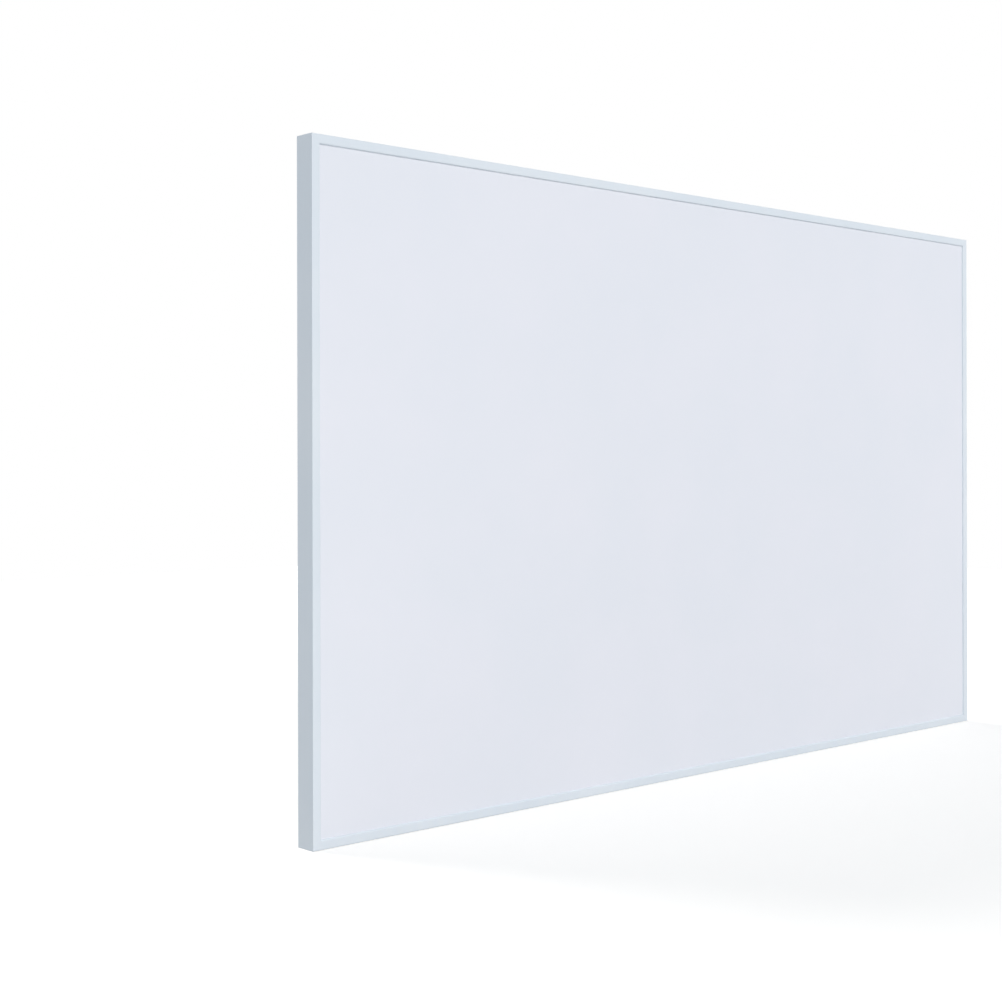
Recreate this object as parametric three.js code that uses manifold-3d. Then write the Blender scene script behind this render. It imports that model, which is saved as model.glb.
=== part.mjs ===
// Infrared panel heater for a wall: an aluminium frame round a sandwich of front panel, heating film,
// insulation and back cover, hung by two rails, with a junction box and a coiled mains cord on the rear.
// Millimetres. +Z is up, +X is right as seen from the front, and the warm face looks to -Y.
// The wall is the plane y = 0. The origin is the centre of the upper rail's wall face.

import * as THREE from "three";
import { mergeVertices } from "three/addons/utils/BufferGeometryUtils.js";
import Module from "manifold-3d";

const wasm = await Module();
wasm.setup();

// Fits
const CLEARANCE = 0.3;
const CONTACT_GAP = 0.1;

// Frame bars
const PANEL_WIDTH = 1000;
const PANEL_HEIGHT = 600;
const FRAME_DEPTH = 22;
const FRAME_WALL = 1.4;
const LIP_WIDTH = 8.5;
const LIP_THICKNESS = 1.6;
const FLANGE_WIDTH = 19;
const FLANGE_THICKNESS = 1.5;
const WEB_WIDTH = 16;
const WEB_THICKNESS = 1.2;
const KEY_SLOT = 3.3;
const EDGE_RADIUS = 0.6;

// Corner keys and their countersunk screws
const KEY_LEG = 46;
const SCREW_FROM_CORNER = 28;
const SCREW_INSET = 9.2;
const SCREW_HEAD_RADIUS = 4;
const SCREW_SHANK_RADIUS = 2;
const RECESS_LENGTH = 4.4;
const RECESS_WIDTH = 1;
const RECESS_DEPTH = 1.5;

// Sandwich
const SHEET_CLEARANCE = 0.6;
const PLATE_THICKNESS = 1.5;
const FILM_THICKNESS = 0.5;
const FILM_MARGIN = 12;
const COVER_THICKNESS = 0.8;
const BUS_WIDTH = 12;
const BUS_THICKNESS = 0.3;
const BUS_INSET = 8;

// Rails, end caps and rivets
const RAIL_SPACING = 300;
const RAIL_LENGTH = 790;
const RAIL_HEIGHT = 40;
const RAIL_DEPTH = 22;
const RAIL_WALL = 1.2;
const RAIL_CORNER = 1.5;
const CAP_FLANGE = 3;
const CAP_INSERT = 10;
const CAP_WALL = 2;
const CAP_CORNER = 2.5;
const SLOT_SPACING = 684;
const SLOT_LENGTH = 45;
const SLOT_HEIGHT = 28;
const SLOT_WIDTH = 5;
const SLOT_HOLE_RADIUS = 4.75;
const RIVET_SPACING = 480;
const RIVET_RADIUS = 1.6;
const RIVET_HEAD_RADIUS = 3.2;
const RIVET_HEAD_HEIGHT = 0.9;
const RIVET_BULB_RADIUS = 2.6;
const RIVET_BULB_HEIGHT = 2.5;

// Junction box, placed from the panel's right edge (seen from the front) and below its middle
const BOX_FROM_EDGE = 106.4;
const BOX_DROP = 2;
const BOX_WIDTH = 55;
const BOX_HEIGHT = 60;
const BOX_TO_WALL = 0.5;
const BOX_CORNER = 3.5;
const BOX_WALL = 2;
const BASE_THICKNESS = 2;
const BASE_RIM_HEIGHT = 6;
const BASE_RIM_WALL = 1.5;
const BOX_SCREW_ACROSS = 20;
const BOX_SCREW_RADIUS = 1.4;
const BOX_SCREW_HEAD_RADIUS = 2.7;
const BOX_SCREW_HEAD_HEIGHT = 1.8;
const BOX_SCREW_REACH = 3;
const LABEL_WIDTH = 44;
const LABEL_HEIGHT = 52;
const LABEL_THICKNESS = 0.2;

// Terminal block and what meets it
const TERMINAL_WIDTH = 24;
const TERMINAL_HEIGHT = 12;
const TERMINAL_DEPTH = 11;
const TERMINAL_DROP = 2;
const TERMINAL_SCREW_SPACING = 10;
const TERMINAL_SCREW_RADIUS = 2;
const TERMINAL_SCREW_LENGTH = 6;
const DRIVER_SLOT_WIDTH = 0.8;
const DRIVER_SLOT_DEPTH = 0.8;
const CLAMP_WIDTH = 20;
const CLAMP_LENGTH = 5;
const CLAMP_WALL = 1.8;

// Gland under the box, round the cord
const GLAND_LENGTH = 5;
const GLAND_RADIUS = 8.5;
const GLAND_TIP_RADIUS = 5;
const GLAND_NECK_RADIUS = 6;
const GLAND_FLANGE_RADIUS = 7.4;
const GLAND_FLANGE_THICKNESS = 2;
const GLAND_TAIL = 4;
const GLAND_HEIGHT = 9.5;

// Grommet and lead wires
const GROMMET_ACROSS = 17.5;
const GROMMET_RADIUS = 5.2;
const GROMMET_NECK_RADIUS = 4;
const GROMMET_FLANGE = 1.5;
const WIRE_RADIUS = 1.1;
const WIRE_SPACING = 4;
const WIRE_BEND = 3.5;
const WIRE_HEIGHT = 7;

// Overheat cut-out: a snap disc in the cap lifts the pin, and the pin lifts the blade off its contact
const CUTOUT_ACROSS = 8;
const CUTOUT_RISE = 16;
const CUTOUT_CAP_RADIUS = 8;
const CUTOUT_CAP_HEIGHT = 4;
const CUTOUT_CAP_WALL = 0.7;
const CUTOUT_CASE_RADIUS = 7.5;
const CUTOUT_CASE_HEIGHT = 9;
const CUTOUT_CASE_WALL = 1.3;
const CUTOUT_CASE_FLOOR = 2;
const CUTOUT_PIN_RADIUS = 1.1;
const CUTOUT_PIN_PLAY = 0.2;
const BLADE_REACH = 5;
const BLADE_OVERHANG = 0.4;
const BLADE_WIDTH = 4;
const BLADE_THICKNESS = 0.4;
const BLADE_CLEAR = 2.6;
const CONTACT_WIDTH = 1.8;

// Sticker
const STICKER_FROM_EDGE = 118;
const STICKER_RISE = 47.4;
const STICKER_RADIUS = 15;
const STICKER_THICKNESS = 0.2;

// Mains cord: the lead, the coil and its ties
const CORD_RADIUS = 3.5;
const LEAD_SIDES = 10;
const LEAD_STEPS = 14;
const COIL_FROM_EDGE = 243;
const COIL_DROP = 21.5;
const COIL_TURNS = 5.5;
const COIL_INNER_RADIUS = 22.5;
const COIL_STRAND_GAP = 0.5;
const COIL_OVAL = 1.13;
const COIL_FLOAT = 1.35;
const COIL_STEPS = 24;
const COIL_SIDES = 6;
const COIL_SPREAD = [0.42, 0.1];
const COIL_SPREAD_ANGLE = 200;
const COIL_SPREAD_POWER = 5;
const COIL_END_ANGLE = 60;
const COIL_END_RISE = 8.4;
const COIL_END_IN = 3;
const TIE_ANGLES = { tie_upper: 48, tie_lower: -68 };
const TIE_WIDTH = 10;
const TIE_THICKNESS = 0.5;
const TIE_SLACK = 0.65;

// Two-pin plug, with an angled neck
const PLUG_WIDTH = 36;
const PLUG_THICKNESS = 26;
const PLUG_CORNER = 9;
const PLUG_BLOCK = 20;
const PLUG_TAPER = 10;
const PLUG_EDGE = 1.2;
const PLUG_HEADING = 28;
const PLUG_TILT = 21;
const PLUG_FROM_COIL = [51.2, 54.2];
const PLUG_LIFT = 12.1;
const PLUG_PIN_SPACING = 19;
const PLUG_PIN_RADIUS = 2.4;
const PLUG_PIN_LENGTH = 19;
const PLUG_PIN_SOCKET = 8;
const NECK_RADIUS = 7;
const NECK_TIP_RADIUS = 5.2;

// Levels along y, from the front to the wall
const wallPlane = 0;
const coverRear = wallPlane - RAIL_DEPTH;
const coverFront = coverRear - COVER_THICKNESS;
const webRear = coverRear + WEB_THICKNESS;
const flangeFront = webRear + KEY_SLOT;
const frameRear = flangeFront + FLANGE_THICKNESS;
const frameFront = frameRear - FRAME_DEPTH;
const plateFront = frameFront + LIP_THICKNESS;
const plateRear = plateFront + PLATE_THICKNESS;
const filmRear = plateRear + FILM_THICKNESS;
const keyFront = webRear + CLEARANCE;

// Places on the rear, from the panel's centre
const halfWidth = PANEL_WIDTH / 2;
const halfHeight = PANEL_HEIGHT / 2;
const boxX = halfWidth - BOX_FROM_EDGE;
const boxZ = -BOX_DROP;
const coilX = halfWidth - COIL_FROM_EDGE;
const coilZ = -COIL_DROP;

const rad = THREE.MathUtils.degToRad;
const at = (x, y, z) => new THREE.Vector3(x, y, z);

// --- Shapes and solids ---

function solidOf(geometry) {
  const bare = geometry.index ? geometry.toNonIndexed() : geometry.clone();
  bare.deleteAttribute("normal");
  bare.deleteAttribute("uv");
  const merged = mergeVertices(bare, 1e-4);
  const vertProperties = merged.attributes.position.array;
  const triVerts = new Uint32Array(merged.index.array);
  return new wasm.Manifold(new wasm.Mesh({ numProp: 3, vertProperties, triVerts }));
}

function geometryOf(solid) {
  const mesh = solid.getMesh();
  const shared = new THREE.BufferGeometry();
  shared.setAttribute("position", new THREE.BufferAttribute(mesh.vertProperties, 3));
  shared.setIndex(new THREE.BufferAttribute(mesh.triVerts, 1));
  const flat = shared.toNonIndexed();
  flat.computeVertexNormals();
  return flat;
}

function cut(geometry, ...tools) {
  return geometryOf(tools.reduce((left, tool) => left.subtract(solidOf(tool)), solidOf(geometry)));
}

function join(geometry, ...others) {
  return geometryOf(others.reduce((whole, other) => whole.add(solidOf(other)), solidOf(geometry)));
}

function remap(geometry, place) {
  const position = geometry.attributes.position;
  for (let i = 0; i < position.count; i += 1) {
    position.setXYZ(i, ...place(position.getX(i), position.getY(i), position.getZ(i)));
  }
  geometry.computeVertexNormals();
  return geometry;
}

// A box between two levels on each axis.
function block([x0, x1], [y0, y1], [z0, z1]) {
  const unit = new THREE.BoxGeometry(1, 1, 1);
  return remap(unit, (x, y, z) => [x < 0 ? x0 : x1, y < 0 ? y0 : y1, z < 0 ? z0 : z1]);
}

function roundedRect([a0, a1], [b0, b1], radius) {
  const shape = new THREE.Shape();
  shape.absarc(a1 - radius, b0 + radius, radius, -Math.PI / 2, 0);
  shape.absarc(a1 - radius, b1 - radius, radius, 0, Math.PI / 2);
  shape.absarc(a0 + radius, b1 - radius, radius, Math.PI / 2, Math.PI);
  shape.absarc(a0 + radius, b0 + radius, radius, Math.PI, 1.5 * Math.PI);
  shape.closePath();
  return shape;
}

const extruded = (shape, curveSegments) =>
  new THREE.ExtrudeGeometry(shape, { depth: 1, bevelEnabled: false, curveSegments });

// A shape drawn in x and z, between two levels of y.
function plate(shape, [y0, y1], curveSegments = 6) {
  return remap(extruded(shape, curveSegments), (a, b, t) => [a, t > 0.5 ? y0 : y1, b]);
}

// A shape drawn in y and z, between two levels of x.
function bar(shape, [x0, x1], curveSegments = 4) {
  return remap(extruded(shape, curveSegments), (a, b, t) => [t > 0.5 ? x1 : x0, a, b]);
}

// A solid turned about y from a profile of radius and level, at a place in x and z.
function turned(profile, x = 0, z = 0, segments = 24) {
  const points = profile.map(([radius, level]) => new THREE.Vector2(radius, level));
  return new THREE.LatheGeometry(points, segments).translate(x, 0, z);
}

const disc = (radius, [y0, y1], x = 0, z = 0, segments = 24) =>
  turned([[0, y0], [radius, y0], [radius, y1], [0, y1]], x, z, segments);

// A closed skin through rings of equal count, each turning right-handed about the way ahead.
function loft(rings) {
  const sides = rings[0].length;
  const middle = (ring) =>
    ring.reduce((sum, point) => sum.add(point), at(0, 0, 0)).divideScalar(sides);
  const points = [...rings.flat(), middle(rings[0]), middle(rings[rings.length - 1])];
  const last = (rings.length - 1) * sides;
  const first = points.length - 2;
  const index = [];
  for (let j = 0; j < sides; j += 1) {
    const k = (j + 1) % sides;
    for (let start = 0; start < last; start += sides) {
      index.push(start + j, start + k, start + sides + k);
      index.push(start + j, start + sides + k, start + sides + j);
    }
    index.push(first, k, j);
    index.push(first + 1, last + j, last + k);
  }
  const geometry = new THREE.BufferGeometry().setFromPoints(points);
  geometry.setIndex(index);
  const flat = geometry.toNonIndexed();
  flat.computeVertexNormals();
  return flat;
}

// A tube through points, its rings square to the way at each point.
function sweep(points, radiusAt, sides) {
  let normal = at(0, 1, 0);
  const rings = points.map((point, i) => {
    const back = points[Math.max(i - 1, 0)];
    const ahead = points[Math.min(i + 1, points.length - 1)];
    const tangent = ahead.clone().sub(back).normalize();
    normal = normal.clone().addScaledVector(tangent, -normal.dot(tangent));
    if (normal.length() < 0.1) normal = at(0, 0, 1).cross(tangent);
    normal.normalize();
    const side = tangent.clone().cross(normal);
    const radius = radiusAt(i / (points.length - 1));
    return Array.from({ length: sides }, (_, j) => {
      const angle = (2 * Math.PI * j) / sides;
      return point.clone()
        .addScaledVector(normal, radius * Math.cos(angle))
        .addScaledVector(side, radius * Math.sin(angle));
    });
  });
  return loft(rings);
}

// A polyline with each inner corner replaced by a short curve.
function roundCorners(points, radius, steps = 4) {
  const out = [points[0]];
  for (let i = 1; i < points.length - 1; i += 1) {
    const corner = points[i];
    const from = points[i - 1].clone().sub(corner).setLength(radius).add(corner);
    const to = points[i + 1].clone().sub(corner).setLength(radius).add(corner);
    out.push(...new THREE.QuadraticBezierCurve3(from, corner, to).getPoints(steps));
  }
  out.push(points[points.length - 1]);
  return out;
}

// --- Materials ---

const finish = (color, roughness, metalness = 0) =>
  new THREE.MeshStandardMaterial({ color, roughness, metalness });
const whiteCoat = finish(0xdfe8f0, 0.45);
const frontCoat = finish(0xe4e8f1, 0.55);
const greyCoat = finish(0xc9ccc4, 0.6);
const railCoat = finish(0xdee4ee, 0.45);
const blackPlastic = finish(0x141817, 0.5);
const blackRubber = finish(0x16181a, 0.75);
const whitePvc = finish(0xf0f2f5, 0.45);
const zinc = finish(0xb9c4cc, 0.35, 1);
const nickel = finish(0xc9c9c4, 0.25, 1);
const copper = finish(0xb8734a, 0.4, 1);
const brass = finish(0xb59a55, 0.4, 1);
const aluminium = finish(0xc4c8cc, 0.4, 1);
const mineralBoard = finish(0xd8cfae, 0.95);
const filmBlack = finish(0x2a2a2e, 0.7);
const creamPlastic = finish(0xe6e0cc, 0.5);
const phenolic = finish(0x5b3a28, 0.6);
const silicone = finish(0xa83a2c, 0.6);
const ceramic = finish(0xeee9df, 0.5);
const labelFoil = finish(0xd9c79f, 0.4);
const stickerFoil = finish(0x9fd06a, 0.35);
const blueFilm = finish(0x24457f, 0.35);

// --- Scene ---

const heater = new THREE.Group();
const panel = new THREE.Group();
panel.position.z = -RAIL_SPACING / 2;
heater.add(panel);

function add(parent, name, geometry, material) {
  const mesh = new THREE.Mesh(geometry, material);
  mesh.name = name;
  parent.add(mesh);
  return mesh;
}

// --- Frame ---

// Section of a bar: u runs inwards from the outer face. The lip holds the front panel, the web backs
// the cover, and the key slot lies between the web and the rear flange.
function frameSection() {
  const r = EDGE_RADIUS;
  const shape = new THREE.Shape();
  shape.absarc(r, frameFront + r, r, Math.PI, 1.5 * Math.PI);
  shape.absarc(LIP_WIDTH - r, frameFront + r, r, 1.5 * Math.PI, 2 * Math.PI);
  shape.lineTo(LIP_WIDTH, plateFront);
  shape.lineTo(FRAME_WALL, plateFront);
  shape.lineTo(FRAME_WALL, coverRear);
  shape.lineTo(WEB_WIDTH, coverRear);
  shape.lineTo(WEB_WIDTH, webRear);
  shape.lineTo(FRAME_WALL, webRear);
  shape.lineTo(FRAME_WALL, flangeFront);
  shape.lineTo(FLANGE_WIDTH, flangeFront);
  shape.absarc(FLANGE_WIDTH - r, frameRear - r, r, 0, Math.PI / 2);
  shape.absarc(r, frameRear - r, r, Math.PI / 2, Math.PI);
  shape.closePath();
  return shape;
}

// The screw's own profile grown by a clearance, open past the flange.
function screwHole(x, z) {
  const shank = SCREW_SHANK_RADIUS + CLEARANCE;
  const head = SCREW_HEAD_RADIUS + CLEARANCE;
  const below = webRear + CLEARANCE / 2;
  const profile = [
    [0, below],
    [shank, below],
    [shank, frameRear - (head - shank)],
    [head + FLANGE_THICKNESS, frameRear + FLANGE_THICKNESS],
    [0, frameRear + FLANGE_THICKNESS],
  ];
  return turned(profile, x, z, 16);
}

function frameScrew(x, z) {
  const countersink = frameRear - (SCREW_HEAD_RADIUS - SCREW_SHANK_RADIUS);
  const profile = [
    [0, keyFront],
    [SCREW_SHANK_RADIUS, keyFront],
    [SCREW_SHANK_RADIUS, countersink],
    [SCREW_HEAD_RADIUS, frameRear],
    [0, frameRear],
  ];
  const depth = [frameRear - RECESS_DEPTH, frameRear + RECESS_DEPTH];
  const long = RECESS_LENGTH / 2;
  const half = RECESS_WIDTH / 2;
  const across = block([x - long, x + long], depth, [z - half, z + half]);
  const upright = block([x - half, x + half], depth, [z - long, z + long]);
  return cut(turned(profile, x, z, 16), across, upright);
}

// The mitre cuts stand back a little, so that two bars leave an even hairline between them.
function frameBar(length) {
  const setBack = CLEARANCE / Math.SQRT2;
  const holeX = length / 2 - SCREW_FROM_CORNER;
  const mitred = remap(extruded(frameSection(), 2), (u, y, t) => [
    (0.5 - t) * (length - 2 * (u + setBack)),
    y,
    u,
  ]);
  return cut(mitred, screwHole(-holeX, SCREW_INSET), screwHole(holeX, SCREW_INSET));
}

const frameSides = {
  bottom: { length: PANEL_WIDTH, x: 0, z: -halfHeight, turn: 0 },
  top: { length: PANEL_WIDTH, x: 0, z: halfHeight, turn: Math.PI },
  left: { length: PANEL_HEIGHT, x: -halfWidth, z: 0, turn: Math.PI / 2 },
  right: { length: PANEL_HEIGHT, x: halfWidth, z: 0, turn: -Math.PI / 2 },
};
for (const [side, { length, x, z, turn }] of Object.entries(frameSides)) {
  const group = new THREE.Group();
  group.position.set(x, 0, z);
  group.rotation.y = turn;
  panel.add(group);
  add(group, `frame_${side}`, frameBar(length), whiteCoat);
  const screwX = length / 2 - SCREW_FROM_CORNER;
  add(group, `frame_screw_${side}_1`, frameScrew(-screwX, SCREW_INSET), zinc);
  add(group, `frame_screw_${side}_2`, frameScrew(screwX, SCREW_INSET), zinc);
}

// An L-shaped plate in the key slot of one corner.
function cornerKey(sideX, sideZ) {
  const near = FRAME_WALL + CLEARANCE;
  const wide = WEB_WIDTH;
  const corner = (a, b) => new THREE.Vector2(sideX * (halfWidth - a), sideZ * (halfHeight - b));
  const outline = new THREE.Shape([
    corner(near, near),
    corner(KEY_LEG, near),
    corner(KEY_LEG, wide),
    corner(wide, wide),
    corner(wide, KEY_LEG),
    corner(near, KEY_LEG),
  ]);
  const first = corner(SCREW_FROM_CORNER, SCREW_INSET);
  const second = corner(SCREW_INSET, SCREW_FROM_CORNER);
  const body = plate(outline, [keyFront, flangeFront]);
  return cut(body, screwHole(first.x, first.y), screwHole(second.x, second.y));
}

add(panel, "corner_key_top_left", cornerKey(-1, 1), zinc);
add(panel, "corner_key_top_right", cornerKey(1, 1), zinc);
add(panel, "corner_key_bottom_left", cornerKey(-1, -1), zinc);
add(panel, "corner_key_bottom_right", cornerKey(1, -1), zinc);

// --- Sandwich ---

const sheetX = halfWidth - FRAME_WALL - SHEET_CLEARANCE;
const sheetZ = halfHeight - FRAME_WALL - SHEET_CLEARANCE;
const filmX = sheetX - FILM_MARGIN;
const filmZ = sheetZ - FILM_MARGIN;
const busOuter = filmZ - BUS_INSET;
const busInner = busOuter - BUS_WIDTH;
const grommetX = boxX - GROMMET_ACROSS;
const grommetZ = boxZ - TERMINAL_DROP;
const rivetPlaces = [-1, 1].map((side) => (side * RIVET_SPACING) / 2);
const boxScrewPlaces = [-1, 1].map((side) => [
  boxX + side * BOX_SCREW_ACROSS,
  boxZ - side * BOX_SCREW_ACROSS,
]);

const across = (half) => [-half, half];
const spanY = (half, [y0, y1]) => block(across(half), [y0, y1], across(half));

add(panel, "front_panel", block(across(sheetX), [plateFront, plateRear], across(sheetZ)), frontCoat);
add(panel, "heating_film", block(across(filmX), [plateRear, filmRear], across(filmZ)), filmBlack);

const busLevels = [filmRear, filmRear + BUS_THICKNESS];
add(panel, "bus_bar_top", block(across(filmX), busLevels, [busInner, busOuter]), copper);
add(panel, "bus_bar_bottom", block(across(filmX), busLevels, [-busOuter, -busInner]), copper);

// The board is grooved for the bus bars and the lead wires, and drilled for the grommet, rivets and screws.
function insulationBoard() {
  const wireLevel = filmRear + BUS_THICKNESS + 2 * (CLEARANCE + WIRE_RADIUS);
  const groove = WIRE_RADIUS + CLEARANCE;
  const under = filmRear - 1;
  const over = coverFront + 1;
  const rivetPocket = coverFront - RIVET_HEAD_HEIGHT - CLEARANCE;
  const screwPocket = coverFront - BOX_SCREW_REACH - CLEARANCE;
  const busTop = filmRear + BUS_THICKNESS + CLEARANCE;
  const grooveX = [grommetX - groove, grommetX + groove];
  const busX = across(filmX + CLEARANCE);
  const tools = [
    block(busX, [under, busTop], [busInner - CLEARANCE, busOuter + CLEARANCE]),
    block(busX, [under, busTop], [-busOuter - CLEARANCE, CLEARANCE - busInner]),
    block(grooveX, [under, wireLevel], across(busOuter + CLEARANCE)),
    disc(GROMMET_RADIUS + CLEARANCE, [under, over], grommetX, grommetZ),
  ];
  for (const x of rivetPlaces) {
    for (const z of across(RAIL_SPACING / 2)) {
      tools.push(disc(RIVET_HEAD_RADIUS + CLEARANCE, [rivetPocket, over], x, z, 12));
    }
  }
  for (const [x, z] of boxScrewPlaces) {
    tools.push(disc(BOX_SCREW_RADIUS + CLEARANCE, [screwPocket, over], x, z, 12));
  }
  return cut(block(across(sheetX), [filmRear, coverFront], across(sheetZ)), ...tools);
}
add(panel, "insulation_board", insulationBoard(), mineralBoard);

function backCover() {
  const through = [coverFront - 1, coverRear + 1];
  const tools = [disc(GROMMET_NECK_RADIUS + CLEARANCE, through, grommetX, grommetZ)];
  for (const x of rivetPlaces) {
    for (const z of across(RAIL_SPACING / 2)) {
      tools.push(disc(RIVET_RADIUS + CLEARANCE, through, x, z, 12));
    }
  }
  for (const [x, z] of boxScrewPlaces) {
    tools.push(disc(BOX_SCREW_RADIUS + CLEARANCE, through, x, z, 12));
  }
  return cut(block(across(sheetX), [coverFront, coverRear], across(sheetZ)), ...tools);
}
add(panel, "back_cover", backCover(), greyCoat);

// --- Rails ---

const tubeHalf = RAIL_LENGTH / 2 - CAP_FLANGE;
const innerY = [coverRear + RAIL_WALL, wallPlane - RAIL_WALL];
const innerZ = across(RAIL_HEIGHT / 2 - RAIL_WALL);

// A rectangular tube with a cross-shaped keyhole near each end of its wall face.
function railTube() {
  const outline = roundedRect([coverRear, wallPlane], across(RAIL_HEIGHT / 2), RAIL_CORNER);
  const bore = block(across(tubeHalf + 1), innerY, innerZ);
  const slotLevels = [wallPlane - 2 * RAIL_WALL, wallPlane + 1];
  const rivetLevels = [coverRear - 1, coverRear + 2 * RAIL_WALL];
  const tools = [bore];
  for (const x of across(SLOT_SPACING / 2)) {
    const long = [x - SLOT_LENGTH / 2, x + SLOT_LENGTH / 2];
    const narrow = [x - SLOT_WIDTH / 2, x + SLOT_WIDTH / 2];
    const slotEnd = SLOT_WIDTH / 2 - 0.01;
    tools.push(plate(roundedRect(long, across(SLOT_WIDTH / 2), slotEnd), slotLevels));
    tools.push(plate(roundedRect(narrow, across(SLOT_HEIGHT / 2), slotEnd), slotLevels));
    tools.push(disc(SLOT_HOLE_RADIUS, slotLevels, x));
  }
  for (const x of rivetPlaces) {
    tools.push(disc(RIVET_RADIUS + CLEARANCE, rivetLevels, x, 0, 12));
  }
  return cut(bar(outline, across(tubeHalf)), ...tools);
}

// A plastic end cap: a flange against the tube's end and a hollow insert inside the tube.
function railCap() {
  const outline = roundedRect([coverRear, wallPlane], across(RAIL_HEIGHT / 2), CAP_CORNER);
  const insertY = [innerY[0] + CLEARANCE, innerY[1] - CLEARANCE];
  const insertZ = [innerZ[0] + CLEARANCE, innerZ[1] - CLEARANCE];
  const pocketY = [insertY[0] + CAP_WALL, insertY[1] - CAP_WALL];
  const pocketZ = [insertZ[0] + CAP_WALL, insertZ[1] - CAP_WALL];
  const insertX = [-CAP_INSERT, CAP_FLANGE / 2];
  const capped = join(bar(outline, [0, CAP_FLANGE]), block(insertX, insertY, insertZ));
  return cut(capped, block([-CAP_INSERT - 1, 0], pocketY, pocketZ));
}

// A blind rivet: its head is under the cover, and its bulb is inside the tube.
function railRivet(x) {
  const bulb = innerY[0];
  const profile = [
    [0, coverFront - RIVET_HEAD_HEIGHT],
    [RIVET_HEAD_RADIUS * 0.7, coverFront - RIVET_HEAD_HEIGHT],
    [RIVET_HEAD_RADIUS, coverFront],
    [RIVET_RADIUS, coverFront],
    [RIVET_RADIUS, bulb],
    [RIVET_BULB_RADIUS, bulb],
    [RIVET_BULB_RADIUS, bulb + RIVET_BULB_HEIGHT * 0.6],
    [RIVET_RADIUS, bulb + RIVET_BULB_HEIGHT],
    [0, bulb + RIVET_BULB_HEIGHT],
  ];
  return turned(profile, x, 0, 12);
}

for (const [level, z] of [["upper", RAIL_SPACING / 2], ["lower", -RAIL_SPACING / 2]]) {
  const rail = new THREE.Group();
  rail.position.z = z;
  panel.add(rail);
  add(rail, `rail_${level}`, railTube(), railCoat);
  add(rail, `rail_cap_${level}_right`, railCap(), blackPlastic).position.x = tubeHalf;
  const left = add(rail, `rail_cap_${level}_left`, railCap(), blackPlastic);
  left.position.x = -tubeHalf;
  left.rotation.z = Math.PI;
  left.position.y = coverRear + wallPlane;
  add(rail, `rail_rivet_${level}_left`, railRivet(rivetPlaces[0]), aluminium);
  add(rail, `rail_rivet_${level}_right`, railRivet(rivetPlaces[1]), aluminium);
}

// --- Junction box ---

const box = new THREE.Group();
box.position.set(boxX, 0, boxZ);
panel.add(box);

const boxRear = wallPlane - BOX_TO_WALL;
const baseTop = coverRear + BASE_THICKNESS;
const lidInnerX = BOX_WIDTH / 2 - BOX_WALL;
const lidInnerZ = BOX_HEIGHT / 2 - BOX_WALL;
const innerCorner = Math.max(BOX_CORNER - BOX_WALL, CLEARANCE);
const glandLevel = coverRear + GLAND_HEIGHT;

// A profile of radius and level along z, turned about an upright axis at the gland's place.
function turnedUpright(profile) {
  return turned(profile).rotateX(Math.PI / 2).translate(0, glandLevel, 0);
}

function boxLid() {
  const outer = roundedRect(across(BOX_WIDTH / 2), across(BOX_HEIGHT / 2), BOX_CORNER);
  const inner = roundedRect(across(lidInnerX), across(lidInnerZ), innerCorner);
  const hole = turnedUpright([
    [0, -BOX_HEIGHT / 2 - 1],
    [GLAND_NECK_RADIUS + CLEARANCE, -BOX_HEIGHT / 2 - 1],
    [GLAND_NECK_RADIUS + CLEARANCE, -lidInnerZ + 1],
    [0, -lidInnerZ + 1],
  ]);
  const hollow = plate(inner, [coverRear - 1, boxRear - BOX_WALL]);
  return cut(plate(outer, [coverRear, boxRear]), hollow, hole);
}

function boxBase() {
  const x = lidInnerX - CLEARANCE;
  const z = lidInnerZ - CLEARANCE;
  const rimTop = coverRear + BASE_RIM_HEIGHT;
  const outer = roundedRect(across(x), across(z), innerCorner);
  const tray = block(across(x - BASE_RIM_WALL), [baseTop, rimTop + 1], across(z - BASE_RIM_WALL));
  const through = [coverRear - 1, baseTop + 1];
  const notch = GLAND_FLANGE_RADIUS + CLEARANCE;
  const tools = [
    tray,
    block(across(notch), [baseTop - CLEARANCE, rimTop + 1], [-z - 1, -z + BASE_RIM_WALL + 1]),
    disc(CUTOUT_CAP_RADIUS + CLEARANCE, through, CUTOUT_ACROSS, CUTOUT_RISE),
    disc(GROMMET_RADIUS + CLEARANCE, through, -GROMMET_ACROSS, -TERMINAL_DROP),
  ];
  for (const [screwX, screwZ] of boxScrewPlaces) {
    tools.push(disc(BOX_SCREW_RADIUS + CLEARANCE, through, screwX - boxX, screwZ - boxZ, 12));
  }
  return cut(plate(outer, [coverRear, rimTop]), ...tools);
}

function boxScrew() {
  const top = baseTop + BOX_SCREW_HEAD_HEIGHT;
  const profile = [
    [0, coverFront - BOX_SCREW_REACH],
    [BOX_SCREW_RADIUS, coverFront - BOX_SCREW_REACH + BOX_SCREW_RADIUS],
    [BOX_SCREW_RADIUS, baseTop],
    [BOX_SCREW_HEAD_RADIUS, baseTop],
    [BOX_SCREW_HEAD_RADIUS, top],
    [0, top],
  ];
  return cut(turned(profile, 0, 0, 12), driverSlot(BOX_SCREW_HEAD_RADIUS, top));
}

function driverSlot(radius, top) {
  const half = DRIVER_SLOT_WIDTH / 2;
  return block(across(radius + 1), [top - DRIVER_SLOT_DEPTH, top + 1], across(half));
}

add(box, "box_base", boxBase(), blackPlastic);
add(box, "box_lid", boxLid(), blackPlastic);
boxScrewPlaces.forEach(([x, z], i) => {
  add(box, `box_screw_${i + 1}`, boxScrew(), zinc).position.set(x - boxX, 0, z - boxZ);
});
const labelLevels = [boxRear, boxRear + LABEL_THICKNESS];
const label = block(across(LABEL_WIDTH / 2), labelLevels, across(LABEL_HEIGHT / 2));
add(box, "rating_plate", label, labelFoil);

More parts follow.
